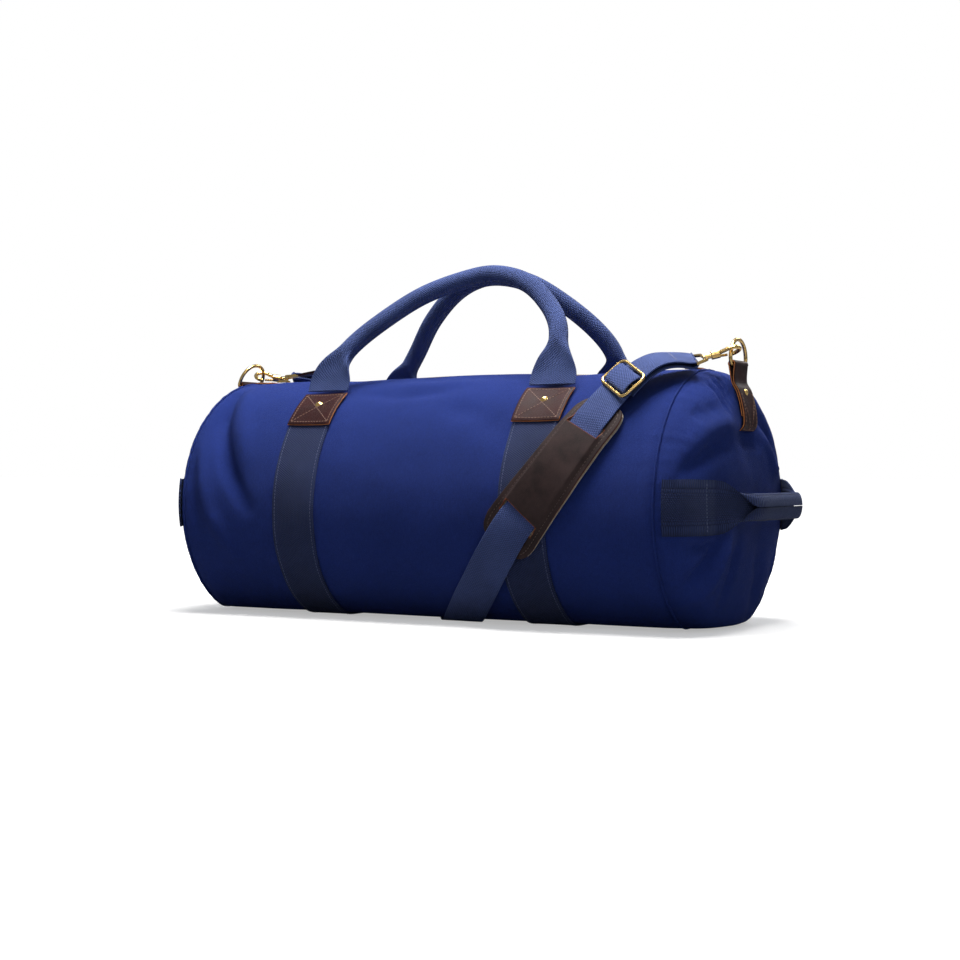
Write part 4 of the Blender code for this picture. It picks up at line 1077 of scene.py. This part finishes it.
def make_zip_ends():
    for side, sign in SIDES.items():
        def place(u, v, height):
            return barrel_point(math.degrees(u / RADIUS), v, height + ZIP_STOP_LIFT)

        start, end = sorted((sign * ZIP_STOP_INNER, sign * ZIP_STOP_OUTER))
        us = edged(-ZIP_STOP_HALF, ZIP_STOP_HALF, 8, 0.0006)
        vs = edged(start, end, 5, 0.0006)
        tab = slab("zip_stop_" + side, us, vs, place, ZIP_STOP_THICK, "leather", edge=0.0006)
        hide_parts("zip_end_" + side)
        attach(tab, "bag")
        low = start + ZIP_STOP_SEAM
        high = end - ZIP_STOP_SEAM
        wide = ZIP_STOP_HALF - ZIP_STOP_SEAM
        corners = [(-wide, low), (wide, low), (wide, high), (-wide, high)]
        runs = []
        for a, b in zip(corners, corners[1:] + corners[:1]):
            runs.append(surface_run(place, between(a, b, 8), ZIP_STOP_THICK / 2))
        sewn = stitches("zip_stop_stitches_" + side, runs, "brown_thread", 0.0026, 0.00032)
        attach(sewn, "bag")


def rivet(name, place, u, v, radius, height, cad):
    """A brass dome on a low flange, set on the sheet that place gives."""
    base = place(u, v, 0.0)
    normal = (place(u, v, 0.002) - base).normalized()
    across = normal.orthogonal().normalized()
    other = normal.cross(across)
    outline = [(1.0, -0.5), (1.0, 0.02), (0.96, 0.14), (0.84, 0.20)]
    for turn in spread(14.0, 86.0, 8):
        t = math.radians(turn)
        outline.append((0.80 * math.cos(t), 0.16 + 0.84 * math.sin(t)))
    rings = []
    for out, up in outline:
        ring = []
        for turn in spread(0.0, 360.0, 28)[:-1]:
            t = math.radians(turn)
            spoke = (across * math.cos(t) + other * math.sin(t)) * out * radius
            ring.append(base + spoke + normal * up * height)
        rings.append(ring)
    piece = tube(name, rings, "brass")
    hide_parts(cad)
    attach(piece, "bag")


# ---------------------------------------------------------------- bands and patches
def make_bands(fine):
    turn = math.degrees(0.001 / RADIUS)
    angles = edged(BAND_START, 360.0 - BAND_START, 150 * fine, turn)
    lanes = edged(-WEB_WIDTH / 2, WEB_WIDTH / 2, 12, 0.0010)
    for side, centre in BAND_X.items():
        def place(angle, v, height):
            return barrel_point(angle, centre + v, height + WEB_THICK / 2 + BAND_GAP)

        # The band look is the darker copy of the webbing, with painted shade.
        band = slab("band_" + side, angles, lanes, place, WEB_THICK, "band", edge=0.0010)
        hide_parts("web_band_" + side)
        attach(band, "bag")
        runs = []
        for sign in (-1, 1):
            v = sign * (WEB_WIDTH / 2 - BAND_SEAM)
            line = between((PATCH_BOTTOM, v), (360.0 - PATCH_BOTTOM, v), 260)
            runs.append(surface_run(place, line, WEB_THICK / 2))
        sewn = stitches("band_stitches_" + side, runs, "blue_thread", 0.0036, 0.00034)
        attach(sewn, "bag")


def make_patches():
    length = math.radians(PATCH_BOTTOM - PATCH_TOP) * RADIUS
    half = PATCH_WIDTH / 2
    wide = half - PATCH_SEAM
    far = length - PATCH_SEAM
    corners = [(PATCH_SEAM, -wide), (PATCH_SEAM, wide), (far, wide), (far, -wide)]
    seams = list(zip(corners, corners[1:] + corners[:1]))
    seams += [(corners[0], corners[2]), (corners[1], corners[3])]
    us = edged(0.0, length, 16, 0.0009)
    vs = edged(-half, half, 16, 0.0009)
    for side, centre in BAND_X.items():
        for where, front in FRONTS.items():
            def place(u, v, height):
                angle = PATCH_TOP + math.degrees(u / RADIUS)
                return barrel_point(front * angle, centre + v, height + PATCH_LIFT)

            name = where + "_" + side
            patch = slab("leather_patch_" + name, us, vs, place, PATCH_THICK, "leather", edge=0.0009)
            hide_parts("patch_" + name)
            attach(patch, "bag")
            rivet_u = math.radians(PATCH_RIVET_ANGLE - PATCH_TOP) * RADIUS

            def top_place(u, v, height):
                return place(u, v, height + PATCH_THICK / 2)

            size = (PATCH_RIVET_RADIUS, PATCH_RIVET_HEIGHT)
            rivet("brass_rivet_" + name, top_place, rivet_u, 0.0, *size, "patch_rivet_" + name)
            runs = [surface_run(place, between(a, b, 20), PATCH_THICK / 2) for a, b in seams]
            sewn = stitches("patch_stitches_" + name, runs, "brown_thread")
            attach(sewn, "bag")


# ---------------------------------------------------------------- handles
def make_top_handles():
    """Flat webbing at both roots, gathered into a rolled tube with a sewn groove under it."""
    sides = 36
    count = 180
    for name, line in HANDLE_LINES.items():
        points = [Vector(p) + Vector((MID_X, 0.0, 0.0)) for p in line]
        centres = [spline_point(points, (len(points) - 1) * i / count) for i in range(count + 1)]
        run = distances(centres)
        rings = []
        groove = []
        outward = Vector((-1, 0, 0))
        for i, centre in enumerate(centres):
            along = (centres[min(i + 1, count)] - centres[max(i - 1, 0)]).normalized()
            outward = (outward - along * outward.dot(along)).normalized()
            from_end = min(run[i], run[-1] - run[i])
            gather = smooth_step((from_end - HANDLE_FLAT) / HANDLE_GATHER[name])
            root_side = Vector((-1 if i < count / 2 else 1, 0, 0))
            side = root_side.lerp(outward, gather).normalized()
            depth = along.cross(side).normalized()
            half_width = WEB_WIDTH / 2 + (HANDLE_TUBE - WEB_WIDTH / 2) * gather
            half_depth = HANDLE_FLAT_DEPTH + (HANDLE_TUBE_DEPTH - HANDLE_FLAT_DEPTH) * gather
            curl = HANDLE_CURL * math.sin(math.pi * gather)
            square = 0.45 + 0.55 * gather
            ring = []
            for j in range(sides):
                turn = 2 * math.pi * j / sides
                across = math.copysign(abs(math.cos(turn)) ** square, math.cos(turn))
                deep = math.copysign(abs(math.sin(turn)) ** square, math.sin(turn))
                dent = HANDLE_DENT * gather * bump(turn, math.pi, 0.22)
                bend = curl * (across * across - 0.4)
                wide = half_width * across * (1.0 - dent)
                ring.append(centre + side * wide + depth * (half_depth * deep + bend))
            rings.append(ring)
            if gather > 0.9:
                groove.append((centre - side * half_width * (1.0 - HANDLE_DENT), -side))
        handle = tube("webbing_handle_" + name, rings, "webbing")
        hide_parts("handle_" + name)
        body = "top_handle_" + name
        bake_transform(handle)
        sewn = stitches("handle_stitches_" + name, [groove], "blue_thread", pitch=0.0042)
        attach(sewn, body)


def make_end_handles():
    """One webbing strap across each end: sewn flat at both seams and folded double in its middle."""
    for side, sign in SIDES.items():
        top = panel_point(side, 0.0, AXIS_Z, 0.0).x + sign * GRAB_STAND[side]
        for where, front in FRONTS.items():
            def across_at(s):
                """How far across the bag a station lies: those below 0 close in on the seam."""
                if s >= 0.0:
                    return GRAB_SEAM_Y * (1.0 - s)
                return GRAB_SEAM_Y + (GRAB_RIM_Y - GRAB_SEAM_Y) * (1.0 - (1.0 + s) ** 2.2)

            def centre_line(s):
                """The strap's middle from the flat part (s 0) to the middle of the grip (s 1)."""
                y = across_at(s)
                flat = panel_point(side, -front * y, AXIS_Z, WEB_THICK / 2 + GRAB_GAP)
                rise = 1.0 - min(y / (GRAB_FLAT_Y - 0.004), 1.0) ** 2.6
                lifted = flat.x + (top - flat.x) * smooth_step(rise * 1.15)
                return Vector((lifted, -front * y, AXIS_Z))

            def place(s, v, height):
                here = centre_line(s)
                ahead = centre_line(min(s + 0.01, 1.0)) - centre_line(max(s - 0.01, 0.0))
                lean = -ahead.x * math.copysign(1.0, ahead.y)
                outward = Vector((abs(ahead.y), lean, 0.0)).normalized()
                outward = Vector((sign * abs(outward.x), sign * outward.y, 0.0))
                y = across_at(s)
                gather = smooth_step((GRAB_FLAT_Y - 0.010 - y) / 0.028)
                wide = v * (1.0 - 0.10 * smooth_step((GRAB_FLAT_Y - y) / 0.03))
                loose = here + Vector((0, 0, wide)) + outward * height
                if gather <= 0.0:
                    reach = y * math.sqrt(1.0 - (v / RADIUS) ** 2)
                    over = WEB_THICK / 2 + GRAB_GAP + height
                    low = panel_point(side, -front * reach, AXIS_Z + wide, over)
                    return low.lerp(loose, smooth_step((GRAB_FLAT_Y + 0.004 - y) / 0.02))
                turn = v / (WEB_WIDTH / 2) * math.pi * GRAB_FOLD_SHARE
                folded_z = (GRAB_FOLD_RADIUS - height) * math.sin(turn)
                folded_x = (height - GRAB_FOLD_INSET) * math.cos(turn)
                folded = here + Vector((0, 0, folded_z)) + outward * folded_x
                return loose.lerp(folded, gather)

            stations = spread(-0.98, 0.0, 12) + spread(0.0, 1.0, 66)[1:]
            lanes = edged(-WEB_WIDTH / 2, WEB_WIDTH / 2, 20, 0.0010)
            name = where + "_" + side
            # The band look is the darker copy of the webbing, with painted shade.
            strap = slab("end_handle_" + name, stations, lanes, place, WEB_THICK, "band")
            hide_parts("grab_root_" + name, "grab_handle_" + side)
            hinge_x = centre_line(0.3).x
            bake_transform(strap)
            seam = (GRAB_SEAM_Y - GRAB_STITCH_Y) / GRAB_SEAM_Y
            wide = WEB_WIDTH / 2 - 0.003
            run = surface_run(place, between((seam, -wide), (seam, wide), 12), WEB_THICK / 2)
            sewn = stitches("end_handle_stitches_" + name, [run], "blue_thread", 0.0032)
            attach(sewn, "bag")


# ---------------------------------------------------------------- strap
def strap_place(t, across, height):
    """A point of the strap: t counts the route's points, across is sideways."""
    last = len(STRAP_ROUTE) - 1.0
    t = min(max(t, 0.0), last)
    angle, x, offset = spline_point(STRAP_ROUTE, t)
    step = 0.02
    a0, x0 = spline_point(STRAP_ROUTE, max(t - step, 0.0))[:2]
    a1, x1 = spline_point(STRAP_ROUTE, min(t + step, last))[:2]
    arc = math.radians(a1 - a0) * RADIUS
    shift = x1 - x0
    length = math.hypot(arc, shift)
    side_angle = math.degrees(-shift / length * across / RADIUS)
    hump = STRAP_HUMP * bump(angle, 25.0, 8.0)
    here = barrel_point(angle + side_angle, x + arc / length * across, offset + hump + height)
    for side, end_t in STRAP_ENDS.items():
        near = smooth_step(1.0 - (abs(t - end_t) - 0.1) / 1.6)
        if near > 0.0:
            here += STRAP_REACH[side] * near
    return here


def reach_the_eyes():
    """How far each end of the strap moves so that its fold lies round the hook's eye."""
    for side, t in STRAP_ENDS.items():
        here, normal = strap_frame(t)[::3]
        STRAP_REACH[side] = hook_eye(side) + normal * STRAP_FOLD / 2 - here


def hook_eye(side):
    """The middle of the eye's bar, at the far end of the hook's shank."""
    sign = SIDES[side]
    rest = ring_bar(side) + ring_point(HOOK_ON_RING[side], side)
    along = Vector((sign * 0.830, sign * 0.530, HOOK_CLIMB[side])).normalized()
    return rest - along * HOOK_LENGTH


def route_parameter(angle):
    low = 0.0
    high = len(STRAP_ROUTE) - 1.0
    while high - low > 1e-7:
        middle = (low + high) / 2
        if spline_point(STRAP_ROUTE, middle)[0] < angle:
            low = middle
        else:
            high = middle
    return low


def strap_frame(t):
    """The strap's middle, its direction, its width direction and its outward normal."""
    here = strap_place(t, 0.0, 0.0)
    along = (strap_place(t + 0.02, 0.0, 0.0) - strap_place(t - 0.02, 0.0, 0.0)).normalized()
    width = (strap_place(t, 0.001, 0.0) - strap_place(t, -0.001, 0.0)).normalized()
    normal = width.cross(along).normalized()
    if normal.dot(Vector((0.0, here.y, here.z - AXIS_Z))) < 0:
        normal = -normal
    return here, along, width, normal


def pad_half_width(share):
    from_end = min(share, 1.0 - share)
    if from_end > PAD_ROUNDED:
        return PAD_HALF_WIDTH
    arc = math.sqrt(max(0.0, 1.0 - (1.0 - from_end / PAD_ROUNDED) ** 2))
    return PAD_HALF_WIDTH * (PAD_END_SHARE + (1.0 - PAD_END_SHARE) * arc)


def pad_place(share, across, height):
    """A point of the pad at a set height over the canvas, whatever the strap does there."""
    t = route_parameter(PAD_START + (PAD_END - PAD_START) * share)
    return strap_place(t, across, height - spline_point(STRAP_ROUTE, t)[2])


def make_strap(fine):
    reach_the_eyes()
    start = STRAP_ENDS["right"]
    end = STRAP_ENDS["left"]
    lanes = edged(-STRAP_WIDTH / 2, STRAP_WIDTH / 2, 10, 0.0009)
    stations = edged(start, end, 170 * fine, 0.05)
    strap = slab("shoulder_strap", stations, lanes, strap_place, STRAP_THICK, "strap", edge=0.0009)
    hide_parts("strap")
    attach(strap, "bag")

    def return_place(t, across, height):
        return strap_place(t, across, height - STRAP_FOLD)

    joined = []
    spans = {"right": (start, route_parameter(RETURN_ANGLE)), "left": (end, end - 1.6)}
    for side, (first, last) in spans.items():
        stations = edged(first, last, 20 * fine, 0.05)
        name = "strap_return_" + side
        back = slab(name, stations, lanes, return_place, STRAP_THICK, "strap", edge=0.0009)
        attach(back, "bag")
        here, along, width, normal = strap_frame(first)
        if side == "left":
            along = -along
        middle = here - normal * STRAP_FOLD / 2

        def fold_place(turn, v, height):
            reach = STRAP_FOLD / 2 + height
            t = math.radians(turn)
            return middle + width * v + normal * math.cos(t) * reach - along * math.sin(t) * reach

        turns = spread(0.0, 180.0, 14)
        fold = slab("strap_fold_" + side, turns, lanes, fold_place, STRAP_THICK, "strap")
        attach(fold, "bag")
        seam = first + (1.1 if side == "right" else -1.1)
        wide = STRAP_WIDTH / 2 - 0.003
        run = surface_run(strap_place, between((seam, -wide), (seam, wide), 10), STRAP_THICK / 2)
        sewn = stitches("strap_end_stitches_" + side, [run], "blue_thread", 0.0032)
        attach(sewn, "bag")
        joined += [back, fold, sewn]
    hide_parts("strap_return")
    path = [strap_place(t, 0.0, 0.0) for t in spread(start, end, 240)]
    return strap, joined, path


def make_pad(fine):
    """A leather top on a felt back; the strap goes under the leather between two slits."""
    def felt_place(share, lane, height):
        return pad_place(share, lane * (pad_half_width(share) + FELT_MARGIN), height + FELT_LIFT)

    felt_shares = edged(0.0, 1.0, 60 * fine, 0.012)
    felt_lanes = edged(-1.0, 1.0, 14, 0.05)
    felt = slab("pad_felt_back", felt_shares, felt_lanes, felt_place, FELT_THICK, "felt", edge=0.0016)
    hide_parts("pad_felt")
    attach(felt, "bag")

    slit = PAD_SLIT / (PAD_END - PAD_START)
    opening = PAD_SLIT_OPENING / (PAD_END - PAD_START)
    slit_half = PAD_SLIT_HALF / PAD_HALF_WIDTH

    def leather_place(share, lane, height):
        across = lane * pad_half_width(share)
        centre = smooth_step((0.0250 - abs(across)) / 0.005)
        inside = smooth_step((share - slit - opening * 0.3) / 0.035)
        inside *= smooth_step((1.0 - slit - opening * 0.3 - share) / 0.035)
        base = LEATHER_LOW + (LEATHER_HIGH - LEATHER_LOW) * centre * inside
        groove = 0.0005 * bump((1.0 - abs(lane)) * PAD_HALF_WIDTH, PAD_SEAM, 0.0010)
        return pad_place(share, across, height + base - groove)

    def keep(share, lane):
        in_slit = slit < share < slit + opening or slit < 1.0 - share < slit + opening
        return not (in_slit and abs(lane) < slit_half)

    extra = []
    for edge in (slit, slit + opening):
        extra += [edge, 1.0 - edge]
    shares = sorted(edged(0.0, 1.0, 56 * fine, 0.014) + extra)
    lanes = sorted(edged(-1.0, 1.0, 26, 0.03) + [-slit_half, slit_half])
    top = slab("pad_leather_top", shares, lanes, leather_place, LEATHER_THICK, "pad", 0.0009, keep)
    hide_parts("pad_leather")
    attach(top, "bag")
    border = []
    for sign in (1, -1):
        for share in spread(0.5 - sign * 0.465, 0.5 + sign * 0.465, 80):
            border.append((share, sign * (1.0 - PAD_SEAM / pad_half_width(share))))
    border.append(border[0])
    run = surface_run(leather_place, border, LEATHER_THICK / 2)
    sewn = stitches("pad_stitches", [run], "pad_thread", pitch=0.0036)
    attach(sewn, "bag")
    return felt, top, sewn


def make_slide_buckle():
    """A rounded brass frame with a centre bar, and the strap's end wrapped round the bar."""
    here, along, width, normal = strap_frame(route_parameter(BUCKLE_ANGLE))
    centre = here + normal * BUCKLE_LIFT
    loop = []
    for k, (sx, sy) in enumerate(((1, 1), (-1, 1), (-1, -1), (1, -1))):
        for turn in spread(90.0 * k, 90.0 * k + 90.0, 8):
            a = sx * (BUCKLE_HALF_LONG - BUCKLE_CORNER) + BUCKLE_CORNER * math.cos(math.radians(turn))
            b = sy * (BUCKLE_HALF_WIDE - BUCKLE_CORNER) + BUCKLE_CORNER * math.sin(math.radians(turn))
            loop.append(centre + along * a + width * b)
    ring = wire("slide_buckle_frame", loop, BUCKLE_WIRE, "brass", closed=True, sides=16)
    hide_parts("slide_buckle")
    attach(ring, "bag")
    ends = [centre - width * BUCKLE_HALF_WIDE, centre + width * BUCKLE_HALF_WIDE]
    bar = wire("slide_buckle_bar", ends, BUCKLE_BAR, "brass")
    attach(bar, "bag")

    def wrapped(turn, v, height):
        t = math.radians(turn)
        reach = 0.0052 + height
        flat = along * math.cos(t) * reach * 1.9
        return centre + width * v + flat + normal * math.sin(t) * reach * 0.62

    turns = edged(-20.0, 200.0, 28, 6.0)
    lanes = edged(-STRAP_WIDTH / 2, STRAP_WIDTH / 2, 10, 0.0009)
    wrap = slab("strap_wrap", turns, lanes, wrapped, STRAP_THICK, "strap", edge=0.0009)
    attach(wrap, "bag")
    return ring, bar, wrap


# ---------------------------------------------------------------- rings, tabs and hooks
def ring_point(turn, side):
    t = math.radians(turn)
    rise = RING_CORNER + (RING_HEIGHT - RING_CORNER) * math.sin(t)
    tilt = math.radians(RING_LEAN[side]) * -SIDES[side]
    return Vector((rise * math.sin(tilt), RING_HALF_WIDTH * math.cos(t), rise * math.cos(tilt)))


def ring_bar(side):
    return RING_BAR[side] + Vector((MID_X, 0.0, 0.0))


def make_rings():
    corner = RING_BAR_CORNER
    for side in SIDES:
        points = [ring_point(turn, side) for turn in spread(0.0, 180.0, 48)]
        points.append(Vector((0.0, -RING_HALF_WIDTH + corner * 0.3, corner * 0.3)))
        points.append(Vector((0.0, -RING_HALF_WIDTH + corner, 0.0)))
        points += [Vector((0.0, y, 0.0)) for y in spread(-0.012, 0.012, 4)]
        points.append(Vector((0.0, RING_HALF_WIDTH - corner, 0.0)))
        points.append(Vector((0.0, RING_HALF_WIDTH - corner * 0.3, corner * 0.3)))
        placed = [ring_bar(side) + p for p in points]
        ring = wire("d_ring_wire_" + side, placed, RING_WIRE, "brass", closed=True)
        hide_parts("ring_" + side)
        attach(ring, "d_ring_" + side)


def make_ring_tabs():
    """A leather strip sewn down the panel, up round the ring's bar and back down behind itself."""
    reach = RING_WIRE + TAB_PLAY + TAB_THICK / 2
    for side, sign in SIDES.items():
        bar = ring_bar(side)
        outer_z = spread(TAB_FOOT_Z, TAB_LEAVE_Z, 6)
        inner_z = spread(TAB_LEAVE_Z, TAB_RETURN_Z, 4)
        outer = [panel_point(side, 0.0, z, TAB_OFFSET + TAB_THICK * 1.6) for z in outer_z]
        inner = [panel_point(side, 0.0, z, TAB_OFFSET + TAB_THICK * 0.5) for z in inner_z]
        arc = []
        for turn in spread(-35.0, 215.0, 8):
            t = math.radians(turn)
            arc.append(bar + Vector((sign * math.cos(t), 0.0, math.sin(t))) * reach)
        path = outer + arc + inner
        length = len(path) - 1.0

        def place(t, v, height):
            here = spline_point(path, t)
            along = spline_point(path, min(t + 0.05, length)) - spline_point(path, max(t - 0.05, 0.0))
            outward = Vector((along.z, 0.0, -along.x)).normalized() * sign
            return here + Vector((0.0, v, 0.0)) + outward * height

        us = edged(0.0, length, 110, 0.08)
        vs = edged(-TAB_WIDTH / 2, TAB_WIDTH / 2, 10, 0.0008)
        tab = slab("leather_tab_" + side, us, vs, place, TAB_THICK, "leather", edge=0.0008)
        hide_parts("ring_tab_" + side)
        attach(tab, "bag")

        def top_place(u, v, height):
            return place(u, v, height + TAB_THICK / 2)

        size = (TAB_RIVET_RADIUS, TAB_RIVET_HEIGHT)
        rivet("tab_stud_" + side, top_place, 4.7, 0.0, *size, "tab_rivet_" + side)
        wide = TAB_WIDTH / 2 - TAB_SEAM
        seams = [
            ((0.35, -wide), (0.35, wide)),
            ((0.35, -wide), (4.6, -wide)),
            ((0.35, wide), (4.6, wide)),
            ((3.75, -wide), (0.35, 0.0)),
            ((3.75, wide), (0.35, 0.0)),
        ]
        runs = [surface_run(place, between(a, b, 14), TAB_THICK / 2) for a, b in seams]
        sewn = stitches("tab_stitches_" + side, runs, "brown_thread")
        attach(sewn, "bag")


CAD_BRASS = ["zip_slider", "zip_pull"]
for end in SIDES:
    CAD_BRASS += ["hook_" + end, "hook_eye_" + end, "hook_gate_" + end]


def dress_cad_nodes():
    """The CAD nodes that stay visible take the brass or the leather."""
    for name in CAD_BRASS:
        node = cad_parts[name]
        node.data.materials.clear()
        node.data.materials.append(LOOKS["brass"][0])
    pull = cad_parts["zip_pull_leather"]
    pull.data.materials.clear()
    pull.data.materials.append(LOOKS["leather"][0])


# ---------------------------------------------------------------- the whole scene
def build():
    fine = 2
    make_stage()
    make_camera()
    make_canvas(fine)
    make_mouth(fine)
    make_zip_ends()
    make_bands(fine)
    make_patches()
    make_top_handles()
    make_end_handles()
    strap, joined, path = make_strap(fine)
    felt, top, sewn = make_pad(fine)
    ring, bar, wrap = make_slide_buckle()
    make_rings()
    make_ring_tabs()
    dress_cad_nodes()
    hardware = []
    for end in SIDES:
        hardware += [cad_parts[name + end] for name in ("hook_", "hook_eye_", "hook_gate_")]
    tuple(path[0])
    round(distances(path)[-1], 3)
    [tuple(point) for point in path]
    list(joined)


build()
